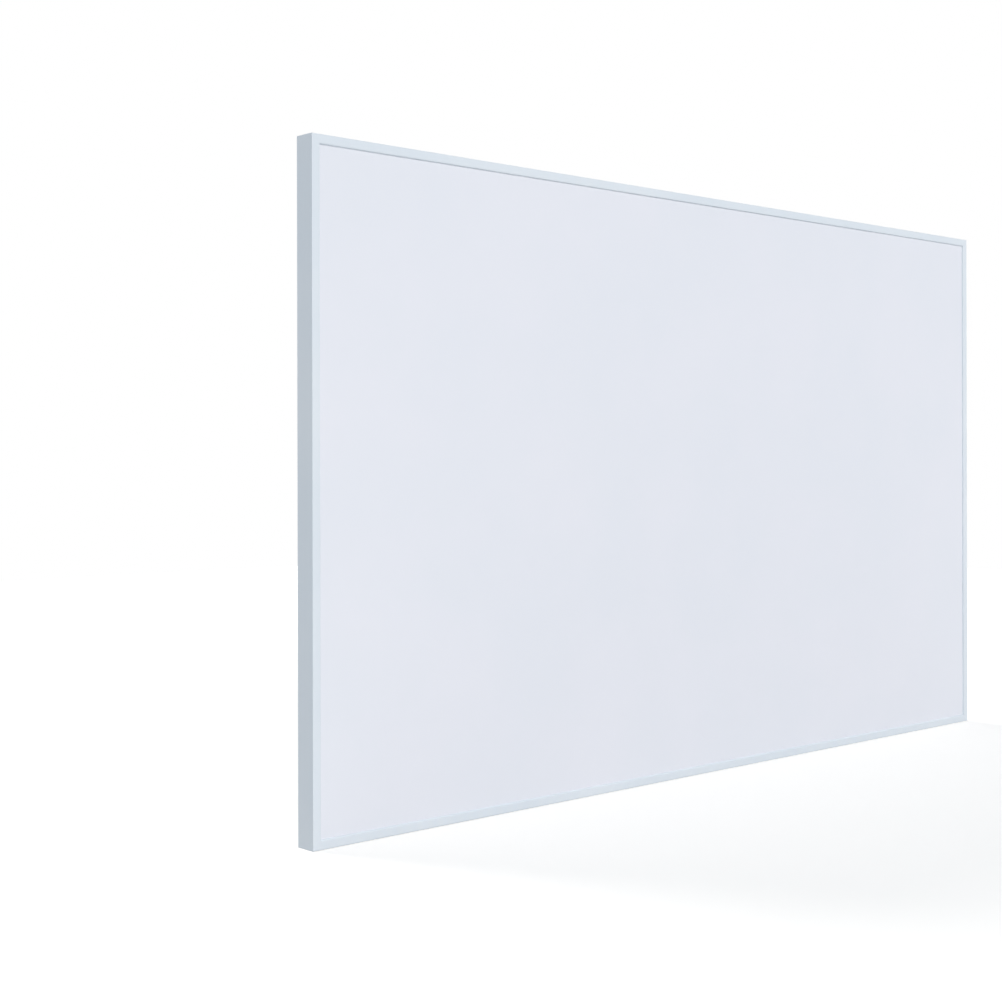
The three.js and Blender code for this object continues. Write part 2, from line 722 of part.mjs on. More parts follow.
// The gland grips the lid's lower wall between its outer cone and its inner flange.
function cordGland() {
  const outside = -BOX_HEIGHT / 2 - CLEARANCE;
  const inside = -lidInnerZ + CLEARANCE;
  const flange = inside + GLAND_FLANGE_THICKNESS;
  return turnedUpright([
    [0, outside - GLAND_LENGTH],
    [GLAND_TIP_RADIUS, outside - GLAND_LENGTH],
    [GLAND_RADIUS, outside],
    [GLAND_NECK_RADIUS, outside],
    [GLAND_NECK_RADIUS, inside],
    [GLAND_FLANGE_RADIUS, inside],
    [GLAND_FLANGE_RADIUS, flange],
    [GLAND_TIP_RADIUS, flange],
    [GLAND_TIP_RADIUS, flange + GLAND_TAIL],
    [0, flange + GLAND_TAIL],
  ]);
}
add(box, "cord_gland", cordGland(), blackRubber);

const glandMouth = -BOX_HEIGHT / 2 - CLEARANCE - GLAND_LENGTH;
const glandTail = -lidInnerZ + CLEARANCE + GLAND_FLANGE_THICKNESS + GLAND_TAIL;
const terminalZ = [-TERMINAL_DROP - TERMINAL_HEIGHT / 2, -TERMINAL_DROP + TERMINAL_HEIGHT / 2];
const terminalTop = baseTop + TERMINAL_DEPTH;
const innerCordEnds = [glandTail + CLEARANCE, terminalZ[0] - CLEARANCE];
const innerCord = sweep(
  innerCordEnds.map((z) => at(0, glandLevel, z)),
  () => CORD_RADIUS,
  LEAD_SIDES,
);
add(box, "cord_inner_end", innerCord, whitePvc);

// A saddle over the cord's inner end, standing on the base.
function cordClamp() {
  const middle = (innerCordEnds[0] + innerCordEnds[1]) / 2;
  const length = [middle - CLAMP_LENGTH / 2, middle + CLAMP_LENGTH / 2];
  const gap = CORD_RADIUS + CLEARANCE;
  const top = glandLevel + gap + CLAMP_WALL;
  const saddle = block(across(CLAMP_WIDTH / 2), [baseTop, top], length);
  return cut(saddle, block(across(gap), [baseTop - 1, glandLevel + gap], [length[0] - 1, length[1] + 1]));
}
add(box, "cord_clamp", cordClamp(), creamPlastic);

function terminalBlock() {
  const body = block(across(TERMINAL_WIDTH / 2), [baseTop, terminalTop], terminalZ);
  const holes = across(TERMINAL_SCREW_SPACING / 2).map((x) =>
    disc(
      TERMINAL_SCREW_RADIUS + CLEARANCE,
      [terminalTop - TERMINAL_SCREW_LENGTH - CLEARANCE, terminalTop + 1],
      x,
      -TERMINAL_DROP,
      16,
    ),
  );
  return cut(body, ...holes);
}
add(box, "terminal_block", terminalBlock(), creamPlastic);
across(TERMINAL_SCREW_SPACING / 2).forEach((x, i) => {
  const levels = [terminalTop - TERMINAL_SCREW_LENGTH, terminalTop];
  const body = disc(TERMINAL_SCREW_RADIUS, levels, 0, 0, 16);
  const screw = cut(body, driverSlot(TERMINAL_SCREW_RADIUS, terminalTop));
  add(box, `terminal_screw_${i + 1}`, screw, brass).position.set(x, 0, -TERMINAL_DROP);
});

// The grommet lines the cover's hole and guides both lead wires.
function leadGrommet() {
  const profile = [
    [0, coverFront - GROMMET_FLANGE],
    [GROMMET_RADIUS, coverFront - GROMMET_FLANGE],
    [GROMMET_RADIUS, coverFront],
    [GROMMET_NECK_RADIUS, coverFront],
    [GROMMET_NECK_RADIUS, coverRear],
    [GROMMET_RADIUS, coverRear],
    [GROMMET_RADIUS, coverRear + GROMMET_FLANGE],
    [0, coverRear + GROMMET_FLANGE],
  ];
  const through = [coverFront - GROMMET_FLANGE - 1, coverRear + GROMMET_FLANGE + 1];
  const bores = across(WIRE_SPACING / 2).map((z) =>
    disc(WIRE_RADIUS + CLEARANCE, through, 0, z, 12),
  );
  return cut(turned(profile), ...bores);
}
add(panel, "lead_grommet", leadGrommet(), blackRubber).position.set(grommetX, 0, grommetZ);

// Each wire leaves the terminal block, dives through the grommet and runs behind the film to a bus bar.
function leadWire(side) {
  const z = grommetZ + (side * WIRE_SPACING) / 2;
  const filmLevel = filmRear + BUS_THICKNESS + CLEARANCE + WIRE_RADIUS;
  const corners = [
    at(boxX - TERMINAL_WIDTH / 2 - CLEARANCE, coverRear + WIRE_HEIGHT, z),
    at(grommetX, coverRear + WIRE_HEIGHT, z),
    at(grommetX, filmLevel, z),
    at(grommetX, filmLevel, (side * (busInner + busOuter)) / 2),
  ];
  return sweep(roundCorners(corners, WIRE_BEND), () => WIRE_RADIUS, 8);
}
add(panel, "lead_wire_top", leadWire(1), silicone);
add(panel, "lead_wire_bottom", leadWire(-1), silicone);

// --- Overheat cut-out ---

const cutout = new THREE.Group();
cutout.position.set(CUTOUT_ACROSS, 0, CUTOUT_RISE);
box.add(cutout);

const capTop = coverRear + CUTOUT_CAP_HEIGHT;
const caseTop = capTop + CUTOUT_CASE_HEIGHT;
const caseFloor = capTop + CUTOUT_CASE_FLOOR;
const bladeFront = caseFloor + BLADE_CLEAR;
const bladeRear = bladeFront + BLADE_THICKNESS;
const pinHole = CUTOUT_PIN_RADIUS + CUTOUT_PIN_PLAY;

const capBody = disc(CUTOUT_CAP_RADIUS, [coverRear, capTop]);
const capCavity = disc(CUTOUT_CAP_RADIUS - CUTOUT_CAP_WALL, [coverRear + CUTOUT_CAP_WALL, capTop + 1]);
add(cutout, "cutout_cap", cut(capBody, capCavity), aluminium);

const caseBody = disc(CUTOUT_CASE_RADIUS, [capTop, caseTop]);
const caseCavity = disc(CUTOUT_CASE_RADIUS - CUTOUT_CASE_WALL, [caseFloor, caseTop + 1]);
const caseHole = disc(pinHole, [capTop - 1, caseFloor + 1], 0, 0, 16);
add(cutout, "cutout_case", cut(caseBody, caseCavity, caseHole), phenolic);

const pinLevels = [coverRear + CUTOUT_CAP_WALL + CUTOUT_PIN_PLAY, bladeFront - CONTACT_GAP];
add(cutout, "cutout_pin", disc(CUTOUT_PIN_RADIUS, pinLevels, 0, 0, 16), ceramic);

// The blade turns about its root on the first contact post, and its tip rests on the second.
const bladeX = [-BLADE_REACH - BLADE_OVERHANG, BLADE_REACH];
const blade = block(bladeX, [bladeFront, bladeRear], across(BLADE_WIDTH / 2));
add(cutout, "cutout_blade", blade, brass);
const postLevels = [caseFloor, bladeFront - CONTACT_GAP];
const post = () => block(across(CONTACT_WIDTH / 2), postLevels, across(BLADE_WIDTH / 2));
add(cutout, "cutout_root_contact", post(), brass).position.x = -BLADE_REACH + CONTACT_WIDTH / 4;
add(cutout, "cutout_tip_contact", post(), brass).position.x = BLADE_REACH - CONTACT_WIDTH / 2;

// --- Sticker ---

const stickerLevels = [coverRear, coverRear + STICKER_THICKNESS];
const sticker = disc(STICKER_RADIUS, stickerLevels, halfWidth - STICKER_FROM_EDGE, STICKER_RISE);
add(panel, "round_sticker", sticker, stickerFoil);

// --- Cord ---

// Each turn lies one strand outside or inside the one before it in its layer. The oval coil spirals in along
// the cover, climbs a layer in the half turn where it reverses, and spirals out again on top. Its end climbs
// once more, on the way to the plug.
const strandPitch = 2 * CORD_RADIUS + COIL_STRAND_GAP;
const halfTurns = COIL_TURNS / 2;
const smooth = (t) => THREE.MathUtils.smoothstep(t, 0, 1);

// Where the coil's centre line is after a number of turns: angle, radius and level.
function coilAt(turns) {
  const angle = -90 + 360 * turns;
  const fromMiddle = Math.abs(turns - halfTurns);
  const climb = smooth((turns - halfTurns) * 2 + 0.5);
  const spread = THREE.MathUtils.lerp(COIL_SPREAD[0], COIL_SPREAD[1], climb);
  const facing = (1 + Math.cos(rad(angle - COIL_SPREAD_ANGLE))) / 2;
  const pitch = strandPitch * (1 + spread * facing ** COIL_SPREAD_POWER);
  const ending = smooth(1 - ((COIL_TURNS - turns) * 360) / COIL_END_ANGLE);
  const radius = COIL_INNER_RADIUS + fromMiddle * pitch - ending ** 2 * COIL_END_IN;
  const level = coverRear + COIL_FLOAT + CORD_RADIUS + climb * strandPitch + ending * COIL_END_RISE;
  return { angle: rad(angle), radius, level };
}

// Seen from the rear, where x runs to the left, the angle turns counter-clockwise from the right.
function coilPoint(turns) {
  const { angle, radius, level } = coilAt(turns);
  return at(coilX - COIL_OVAL * radius * Math.cos(angle), level, coilZ + radius * Math.sin(angle));
}

const coilSteps = Math.round(COIL_TURNS * COIL_STEPS);
const coilTurnPoints = Array.from({ length: coilSteps + 1 }, (_, i) => coilPoint(i / COIL_STEPS));
const straight = at(2 * CORD_RADIUS, 0, 0);
const coilStart = coilTurnPoints[0].clone().add(straight);
const coilEnd = coilTurnPoints[coilSteps].clone().add(straight);
const coilLine = [coilStart, ...coilTurnPoints, coilEnd];
add(panel, "cord_coil", sweep(coilLine, () => CORD_RADIUS, COIL_SIDES), whitePvc);

// The least gap between turns, measured on points more than a third of a turn apart.
function leastCoilGap() {
  let least = Infinity;
  coilLine.forEach((point, i) => {
    for (let j = i + COIL_STEPS / 3; j < coilLine.length; j += 1) {
      least = Math.min(least, point.distanceTo(coilLine[j]) - 2 * CORD_RADIUS);
    }
  });
  return least;
}
console.log(`least gap of the cord coil to itself: ${leastCoilGap().toFixed(2)} mm`);

// The lead leaves the gland downwards, bends towards the coil and lies down on the way to it.
const leadLevel = glandLevel - coverRear;
const coilLevel = COIL_FLOAT + CORD_RADIUS;
const leadRoute = [
  [0, leadLevel, 0],
  [0, leadLevel, -4],
  [-3.2, 9, -8.2],
  [-10, 8.2, -12],
  [-19.5, 7.4, -14],
  [-31, 6.4, -15.2],
  [-48, 5.4, -16.4],
  [-68, 4.8, -18.2],
  [-88, 4.7, -21.6],
  [-104, 4.7, -26],
];
const leadStart = at(boxX, coverRear, boxZ + glandMouth - CLEARANCE);
const leadPoints = leadRoute.map(([x, y, z]) => leadStart.clone().add(at(x, y, z)));
leadPoints.push(coilStart.clone().add(at(12, 0, 0.3)), coilStart.clone().add(at(CLEARANCE, 0, 0)));

function cordLead() {
  const section = new THREE.Shape();
  section.absarc(0, 0, CORD_RADIUS, 0, 2 * Math.PI);
  return new THREE.ExtrudeGeometry(section, {
    extrudePath: new THREE.CatmullRomCurve3(leadPoints, false, "centripetal"),
    steps: LEAD_STEPS,
    curveSegments: LEAD_SIDES,
    bevelEnabled: false,
  });
}
add(panel, "cord_lead", cordLead(), whitePvc);

// A band of film round all strands at one angle of the coil, lying on the cover. Its inside holds every
// stretch of the coil's centre line that runs through the band's width.
function coilTie(angle) {
  const outward = at(-COIL_OVAL * Math.cos(rad(angle)), 0, Math.sin(rad(angle))).normalize();
  const up = at(0, 1, 0);
  const along = outward.clone().cross(up);
  const middle = at(coilX, 0, coilZ);
  const samples = Array.from({ length: coilSteps * 4 + 1 }, (_, i) => coilPoint(i / COIL_STEPS / 4));
  const held = samples
    .map((point) => point.sub(middle))
    .filter((point) => point.dot(outward) > 0 && Math.abs(point.dot(along)) < TIE_WIDTH / 2);
  const radii = held.map((point) => point.dot(outward));
  const levels = held.map((point) => point.y);
  const reach = CORD_RADIUS + TIE_SLACK;
  const inside = {
    radius: [Math.min(...radii) - reach, Math.max(...radii) + reach],
    level: [Math.min(...levels) - reach, Math.max(...levels) + reach],
  };
  const grow = ([low, high]) => [low - TIE_THICKNESS, high + TIE_THICKNESS];
  const corner = CORD_RADIUS - TIE_THICKNESS;
  const section = roundedRect(grow(inside.radius), grow(inside.level), CORD_RADIUS);
  section.holes.push(roundedRect(inside.radius, inside.level, corner));
  const band = new THREE.ExtrudeGeometry(section, {
    depth: TIE_WIDTH,
    bevelEnabled: false,
    curveSegments: 3,
  });
  const place = new THREE.Matrix4().makeBasis(outward, up, along);
  place.setPosition(middle.addScaledVector(along, -TIE_WIDTH / 2));
  return band.applyMatrix4(place);
}
for (const [name, angle] of Object.entries(TIE_ANGLES)) {
  add(panel, name, coilTie(angle), blueFilm);
}

// --- Plug ---

// The plug's own z axis runs along its pins, and its face is at z = 0. It leans on the cover by the
// edge of its face, and its rear end stands over the coil.
const plugFace = at(
  coilX + PLUG_FROM_COIL[0],
  coverRear + PLUG_LIFT,
  coilZ + PLUG_FROM_COIL[1],
);
const plug = new THREE.Group();
plug.position.copy(plugFace);
plug.rotation.set(rad(PLUG_TILT), rad(PLUG_HEADING), 0, "YXZ");
plug.updateMatrix();
panel.add(plug);

// Rings of the body's rounded outline, shrunk at the face's edge and towards the neck.
function plugBlock() {
  const outline = roundedRect(across(PLUG_WIDTH / 2), across(PLUG_THICKNESS / 2), PLUG_CORNER);
  const points = outline.getSpacedPoints(28).slice(0, -1);
  const inner = 1 - PLUG_EDGE / (PLUG_THICKNESS / 2);
  const end = -PLUG_BLOCK - PLUG_TAPER;
  const stations = [
    [end, NECK_RADIUS / (PLUG_THICKNESS / 2)],
    [-PLUG_BLOCK - PLUG_TAPER * 0.4, 0.82],
    [-PLUG_BLOCK, 1],
    [-PLUG_EDGE, 1],
    [0, inner],
  ];
  const ring = ([z, scale]) => points.map((p) => at(p.x * scale, p.y * scale, z));
  return loft(stations.map(ring)).applyMatrix4(plug.matrix);
}

// The neck bends from the body's rear to the coil's end and narrows on the way.
function plugNeck() {
  const inPlug = (z) => at(0, 0, z).applyMatrix4(plug.matrix);
  const tip = coilEnd.clone().add(at(CLEARANCE, 0, 0));
  const curve = new THREE.CubicBezierCurve3(
    inPlug(-PLUG_BLOCK + 3),
    inPlug(-PLUG_BLOCK - PLUG_TAPER - 7),
    tip.clone().add(at(18, 0, 0)),
    tip,
  );
  const radius = (t) => THREE.MathUtils.lerp(NECK_RADIUS, NECK_TIP_RADIUS, t);
  return sweep(curve.getPoints(12), radius, 12);
}

function plugPin() {
  const r = PLUG_PIN_RADIUS;
  const profile = [
    [0, -PLUG_PIN_SOCKET],
    [r, -PLUG_PIN_SOCKET],
    [r, PLUG_PIN_LENGTH - r],
    [r * 0.7, PLUG_PIN_LENGTH - r * 0.3],
    [0, PLUG_PIN_LENGTH],
  ];
  return turned(profile, 0, 0, 16).rotateX(Math.PI / 2);
}

function plugBody() {
  const sockets = across(PLUG_PIN_SPACING / 2).map((x) =>
    disc(PLUG_PIN_RADIUS + CLEARANCE, [-PLUG_PIN_SOCKET - CLEARANCE, 1], 0, 0, 16)
      .rotateX(Math.PI / 2)
      .translate(x, 0, 0)
      .applyMatrix4(plug.matrix),
  );
  return cut(join(plugBlock(), plugNeck()), ...sockets);
}
add(panel, "plug_body", plugBody(), whitePvc);
across(PLUG_PIN_SPACING / 2).forEach((x, i) => {
  add(plug, `plug_pin_${i + 1}`, plugPin(), nickel).position.x = x;
});

export default heater;
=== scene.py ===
"""An infrared panel heater, dressed: fine meshes, finishes, soft light and the camera.

Sizes are millimetres until a mesh is made, and the meshes are metres in the part's own frame:
+Z up, +X right as seen from the front, and the warm face towards -Y.
"""
import math

import bmesh
import bpy
from mathutils import Matrix, Vector, noise


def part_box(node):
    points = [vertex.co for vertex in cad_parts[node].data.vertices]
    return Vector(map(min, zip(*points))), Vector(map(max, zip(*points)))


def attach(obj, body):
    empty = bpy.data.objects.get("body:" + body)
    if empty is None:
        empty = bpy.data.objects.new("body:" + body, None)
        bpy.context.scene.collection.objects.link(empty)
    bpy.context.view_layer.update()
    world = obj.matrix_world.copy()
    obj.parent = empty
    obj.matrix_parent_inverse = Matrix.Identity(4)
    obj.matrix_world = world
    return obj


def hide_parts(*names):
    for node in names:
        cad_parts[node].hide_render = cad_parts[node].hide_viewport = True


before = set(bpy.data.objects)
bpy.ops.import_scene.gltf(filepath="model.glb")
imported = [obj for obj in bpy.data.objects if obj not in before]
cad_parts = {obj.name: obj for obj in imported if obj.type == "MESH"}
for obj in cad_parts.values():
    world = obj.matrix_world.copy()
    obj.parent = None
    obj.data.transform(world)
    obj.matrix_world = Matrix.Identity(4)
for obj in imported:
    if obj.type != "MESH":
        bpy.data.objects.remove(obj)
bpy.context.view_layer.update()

MM = 0.001


def box_mm(node):
    low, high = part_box(node)
    return low / MM, high / MM


def lerp(a, b, t):
    return a + (b - a) * t


def smoothstep(t):
    t = min(max(t, 0.0), 1.0)
    return t * t * (3 - 2 * t)


# --- Camera ---

CAMERA_PLACE = (-1.2963, -1.1449, -0.1236)
CAMERA_YAW = 42.35
CAMERA_ROLL = 0.112
CAMERA_LENS = 58.36
CAMERA_SHIFT_Y = -0.0408


def make_camera():
    data = bpy.data.cameras.new("Camera")
    data.lens = CAMERA_LENS
    data.sensor_width = 36
    data.shift_y = CAMERA_SHIFT_Y
    camera = bpy.data.objects.new("Camera", data)
    camera.location = CAMERA_PLACE
    camera.rotation_euler = (math.radians(90), math.radians(CAMERA_ROLL), -math.radians(CAMERA_YAW))
    bpy.context.scene.collection.objects.link(camera)
    bpy.context.scene.camera = camera


make_camera()


# --- Materials ---


def srgb(red, green, blue):
    """A colour written as 0 to 255, as linear light."""
    def linear(c):
        c /= 255
        return c / 12.92 if c <= 0.04045 else ((c + 0.055) / 1.055) ** 2.4
    return (linear(red), linear(green), linear(blue), 1)


class Finish:
    """A node material under construction: noise sizes are metres, and places are the part's own."""

    def __init__(self, name, roughness, metallic=0.0):
        self.material = bpy.data.materials.new(name)
        self.material.use_nodes = True
        self.nodes = self.material.node_tree.nodes
        self.links = self.material.node_tree.links
        self.shader = self.nodes["Principled BSDF"]
        self.shader.inputs["Roughness"].default_value = roughness
        self.shader.inputs["Metallic"].default_value = metallic
        self.place = self.nodes.new("ShaderNodeTexCoord").outputs["Object"]

    def noise(self, size, detail=3.0, stretch=(1, 1, 1)):
        mapping = self.nodes.new("ShaderNodeMapping")
        mapping.inputs["Scale"].default_value = stretch
        self.links.new(self.place, mapping.inputs["Vector"])
        texture = self.nodes.new("ShaderNodeTexNoise")
        texture.inputs["Scale"].default_value = 1 / size
        texture.inputs["Detail"].default_value = detail
        self.links.new(mapping.outputs["Vector"], texture.inputs["Vector"])
        return texture.outputs["Fac"]

    def ramp(self, source, low, high, start=0.0, end=1.0):
        """source from start to end, as low to high: numbers or colours."""
        if isinstance(low, tuple):
            node = self.nodes.new("ShaderNodeValToRGB")
            node.color_ramp.elements[0].position = start
            node.color_ramp.elements[0].color = low
            node.color_ramp.elements[1].position = end
            node.color_ramp.elements[1].color = high
            self.links.new(source, node.inputs["Fac"])
            return node.outputs["Color"]
        node = self.nodes.new("ShaderNodeMapRange")
        for socket, value in zip(("From Min", "From Max", "To Min", "To Max"), (start, end, low, high)):
            node.inputs[socket].default_value = value
        self.links.new(source, node.inputs["Value"])
        return node.outputs["Result"]

    def mix(self, factor, one, other, blend="MIX"):
        node = self.nodes.new("ShaderNodeMix")
        node.data_type = "RGBA"
        node.blend_type = blend
        self.feed(node.inputs[0], factor)
        self.feed(node.inputs[6], one)
        self.feed(node.inputs[7], other)
        return node.outputs[2]

    def feed(self, socket, value):
        if isinstance(value, bpy.types.NodeSocket):
            self.links.new(value, socket)
        else:
            socket.default_value = value

    def along(self, axis, start, end):
        """0 to 1 from start to end, in metres, along an axis."""
        node = self.nodes.new("ShaderNodeSeparateXYZ")
        self.links.new(self.place, node.inputs["Vector"])
        return self.ramp(node.outputs[axis], 0.0, 1.0, start, end)

    def colour(self, source):
        self.feed(self.shader.inputs["Base Color"], source)

    def roughness(self, source):
        self.links.new(source, self.shader.inputs["Roughness"])

    def bump(self, height, depth, strength=1.0):
        """Bump of a depth in metres. A second call adds to the first."""
        node = self.nodes.new("ShaderNodeBump")
        node.inputs["Strength"].default_value = strength
        node.inputs["Distance"].default_value = depth
        self.links.new(height, node.inputs["Height"])
        normal = self.shader.inputs["Normal"]
        if normal.is_linked:
            self.links.new(normal.links[0].from_socket, node.inputs["Normal"])
        self.links.new(node.outputs["Normal"], normal)


def coated_metal(name, light, dark, roughness, peel=0.0012, peel_depth=0.00001):
    """Powder coat: cloudy by a hair, with a fine orange peel."""
    finish = Finish(name, roughness)
    finish.colour(finish.ramp(finish.noise(0.11), dark, light, 0.35, 0.65))
    finish.roughness(finish.ramp(finish.noise(0.02), roughness - 0.04, roughness + 0.05, 0.3, 0.7))
    finish.bump(finish.noise(peel, 2), peel_depth)
    return finish.material


def cover_coat():
    """The rear sheet: a warm grey above that fades to a cooler grey below, with soft mottling."""
    low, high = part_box("back_cover")
    finish = Finish("cover_coat", 0.55)
    fade = finish.along("Z", high.z, low.z)
    base = finish.mix(fade, srgb(201, 203, 193), srgb(206, 208, 203))
    mottle = finish.ramp(finish.noise(0.05, 3), srgb(252, 252, 252), srgb(255, 255, 255), 0.35, 0.65)
    speck = finish.ramp(finish.noise(0.0018, 2), srgb(252, 252, 251), srgb(255, 255, 255), 0.3, 0.7)
    finish.colour(finish.mix(1.0, finish.mix(1.0, base, mottle, "MULTIPLY"), speck, "MULTIPLY"))
    finish.roughness(finish.ramp(finish.noise(0.01), 0.5, 0.62, 0.3, 0.7))
    finish.bump(finish.noise(0.0018, 2), 0.000012)
    finish.bump(finish.noise(0.12, 1), 0.0002, 0.3)
    return finish.material


def moulded_plastic(name, dark, light, roughness, grain=0.0004, depth=0.00002, shine=0.5):
    """Moulded plastic with a spark-eroded grain. shine is how much it mirrors, where 0.5 is plain."""
    finish = Finish(name, roughness)
    finish.shader.inputs["Specular IOR Level"].default_value = shine
    finish.colour(finish.ramp(finish.noise(0.012), dark, light, 0.35, 0.65))
    finish.roughness(finish.ramp(finish.noise(0.004), roughness - 0.06, roughness + 0.06, 0.3, 0.7))
    finish.bump(finish.noise(grain, 2), depth)
    return finish.material


def soft_pvc(name, light, dark, roughness):
    """Cord jacket and plug: slightly wavy and semi-matt."""
    finish = Finish(name, roughness)
    finish.colour(finish.ramp(finish.noise(0.02), dark, light, 0.3, 0.6))
    finish.roughness(finish.ramp(finish.noise(0.006), roughness - 0.05, roughness + 0.07, 0.3, 0.7))
    finish.bump(finish.noise(0.003, 2), 0.00003)
    return finish.material


def bare_metal(name, light, dark, roughness, stretch=(1, 1, 1)):
    """Metal with fine tool marks, stretched along one axis."""
    finish = Finish(name, roughness, 1.0)
    marks = finish.noise(0.0008, 3, stretch)
    finish.colour(finish.ramp(marks, dark, light, 0.3, 0.7))
    finish.roughness(finish.ramp(marks, roughness - 0.08, roughness + 0.1, 0.3, 0.7))
    finish.bump(marks, 0.000008)
    return finish.material


def foil(name, light, dark, roughness, metallic=0.0, shine=0.5):
    """Printed foil, almost flat."""
    finish = Finish(name, roughness, metallic)
    finish.shader.inputs["Specular IOR Level"].default_value = shine
    finish.colour(finish.ramp(finish.noise(0.006), dark, light, 0.3, 0.7))
    finish.bump(finish.noise(0.004, 2), 0.00002)
    return finish.material


def sticker_print():
    """Yellow-green above to teal below, with faint upright streaks and paler clouds."""
    low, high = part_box("round_sticker")
    finish = Finish("sticker_print", 0.32)
    fade = finish.along("Z", low.z, high.z)
    wave = finish.noise(0.006, 3, (1, 1, 0.45))
    base = finish.nodes.new("ShaderNodeValToRGB")
    stops = ((0.12, srgb(38, 128, 112)), (0.3, srgb(92, 186, 130)), (0.55, srgb(142, 212, 120)),
             (0.88, srgb(196, 220, 104)))
    while len(base.color_ramp.elements) < len(stops):
        base.color_ramp.elements.new(0.5)
    for element, (position, colour) in zip(base.color_ramp.elements, stops):
        element.position = position
        element.color = colour
    finish.links.new(fade, base.inputs["Fac"])
    pale = finish.ramp(wave, 0.0, 0.75, 0.5, 0.72)
    finish.colour(finish.mix(pale, base.outputs["Color"], srgb(214, 240, 196)))
    finish.bump(finish.noise(0.003, 2), 0.00001)
    return finish.material


def tie_film():
    """Thin blue film in its own blue, with painted shade and highlight: random patches from dark navy to
    mid blue stand in for the light and shade of its crumples.
    """
    finish = Finish("tie_film", 0.3)
    # Painted shade and highlight: noise patches from dark navy to mid blue stand in for the crumples'
    # light and shade.
    fold_shade = finish.noise(0.008, 2)
    finish.colour(finish.ramp(fold_shade, srgb(14, 28, 78), srgb(60, 112, 190), 0.3, 0.6))
    finish.shader.inputs["Specular IOR Level"].default_value = 0.3
    finish.shader.inputs["Coat Weight"].default_value = 0.15
    finish.shader.inputs["Coat Roughness"].default_value = 0.2
    finish.bump(finish.noise(0.0025, 2), 0.00015)
    return finish.material


# How much the black pieces mirror, where 0.5 is plain.
BLACK_SHINE = 0.12

FRAME_COAT = coated_metal("frame_coat", srgb(222, 230, 238), srgb(218, 227, 236), 0.4)
FRONT_COAT = coated_metal("front_coat", srgb(229, 232, 241), srgb(227, 231, 240), 0.55, 0.0009, 0.000014)
COVER_COAT = cover_coat()
RAIL_COAT = coated_metal("rail_coat", srgb(225, 231, 240), srgb(220, 226, 236), 0.42)
CAP_PLASTIC = moulded_plastic("cap_plastic", srgb(9, 11, 11), srgb(15, 17, 17), 0.5, shine=BLACK_SHINE)
BOX_PLASTIC = moulded_plastic("box_plastic", srgb(8, 9, 12), srgb(14, 15, 19), 0.42, shine=BLACK_SHINE)
GLAND_RUBBER = moulded_plastic(
    "gland_rubber", srgb(10, 11, 14), srgb(16, 17, 21), 0.68, 0.0007, shine=BLACK_SHINE
)
CORD_PVC = soft_pvc("cord_pvc", srgb(238, 239, 243), srgb(232, 234, 240), 0.42)
PLUG_PVC = soft_pvc("plug_pvc", srgb(238, 239, 244), srgb(233, 234, 240), 0.46)
ZINC = bare_metal("zinc", srgb(206, 216, 222), srgb(168, 182, 190), 0.38)
NICKEL = bare_metal("nickel", srgb(222, 222, 218), srgb(188, 188, 184), 0.2, (1, 1, 0.2))
COPPER = bare_metal("copper", srgb(206, 132, 92), srgb(166, 96, 62), 0.4, (0.1, 1, 1))
BRASS = bare_metal("brass", srgb(204, 178, 104), srgb(168, 140, 72), 0.35)
ALUMINIUM = bare_metal("aluminium", srgb(210, 213, 216), srgb(180, 184, 188), 0.38)
MINERAL_BOARD = moulded_plastic(
    "mineral_board", srgb(204, 194, 160), srgb(224, 215, 184), 0.93, 0.0015, 0.0003
)
HEATING_FILM = foil("heating_film", srgb(50, 50, 54), srgb(34, 34, 38), 0.6)
CREAM_PLASTIC = moulded_plastic("cream_plastic", srgb(222, 215, 194), srgb(234, 228, 208), 0.5)
PHENOLIC = moulded_plastic("phenolic", srgb(78, 48, 32), srgb(102, 66, 46), 0.55)
SILICONE = soft_pvc("silicone", srgb(180, 66, 50), srgb(154, 50, 38), 0.5)
CERAMIC = moulded_plastic("ceramic", srgb(230, 226, 216), srgb(242, 239, 230), 0.4)
LABEL_BLACK = foil("label_black", srgb(13, 14, 17), srgb(8, 9, 12), 0.34, shine=BLACK_SHINE)
LABEL_GOLD = foil("label_gold", srgb(238, 219, 178), srgb(226, 204, 160), 0.34, 0.15)
STICKER_RIM = foil("sticker_rim", srgb(240, 248, 240), srgb(226, 238, 228), 0.32)
STICKER_PRINT = sticker_print()
TIE_FILM = tie_film()


# --- Meshes ---

# Turned shapes end just off their axis, so that no faces meet in one point.
AXIS = 0.05


def arc(cu, cv, radius, start, end, steps=6):
    """Points of an arc, from one angle to another in degrees."""
    angles = [math.radians(lerp(start, end, i / steps)) for i in range(steps + 1)]
    return [(cu + radius * math.cos(a), cv + radius * math.sin(a)) for a in angles]


def rounded_rect(half_u, half_v, radius, steps=6):
    """A closed outline about the origin, counter-clockwise from the lower right."""
    u = half_u - radius
    v = half_v - radius
    corners = ((u, -v, -90), (u, v, 0), (-u, v, 90), (-u, -v, 180))
    return [p for cu, cv, start in corners for p in arc(cu, cv, radius, start, start + 90, steps)]


def mesh_object(name, points, faces):
    """A closed mesh from points in millimetres, with its faces pointing out."""
    mesh = bpy.data.meshes.new(name)
    build = bmesh.new()
    verts = [build.verts.new(Vector(p) * MM) for p in points]
    for face in faces:
        build.faces.new([verts[i] for i in face])
    bmesh.ops.recalc_face_normals(build, faces=build.faces)
    build.to_mesh(mesh)
    build.free()
    obj = bpy.data.objects.new(name, mesh)
    bpy.context.scene.collection.objects.link(obj)
    return obj


def loft(name, rings, capped=True):
    """A skin through rings of equal count."""
    count = len(rings[0])
    points = [p for ring in rings for p in ring]
    faces = []
    for i in range(len(rings) - 1):
        for j in range(count):
            k = (j + 1) % count
            faces.append((i * count + j, i * count + k, (i + 1) * count + k, (i + 1) * count + j))
    if capped:
        last = (len(rings) - 1) * count
        faces.append(tuple(reversed(range(count))))
        faces.append(tuple(range(last, last + count)))
    return mesh_object(name, points, faces)


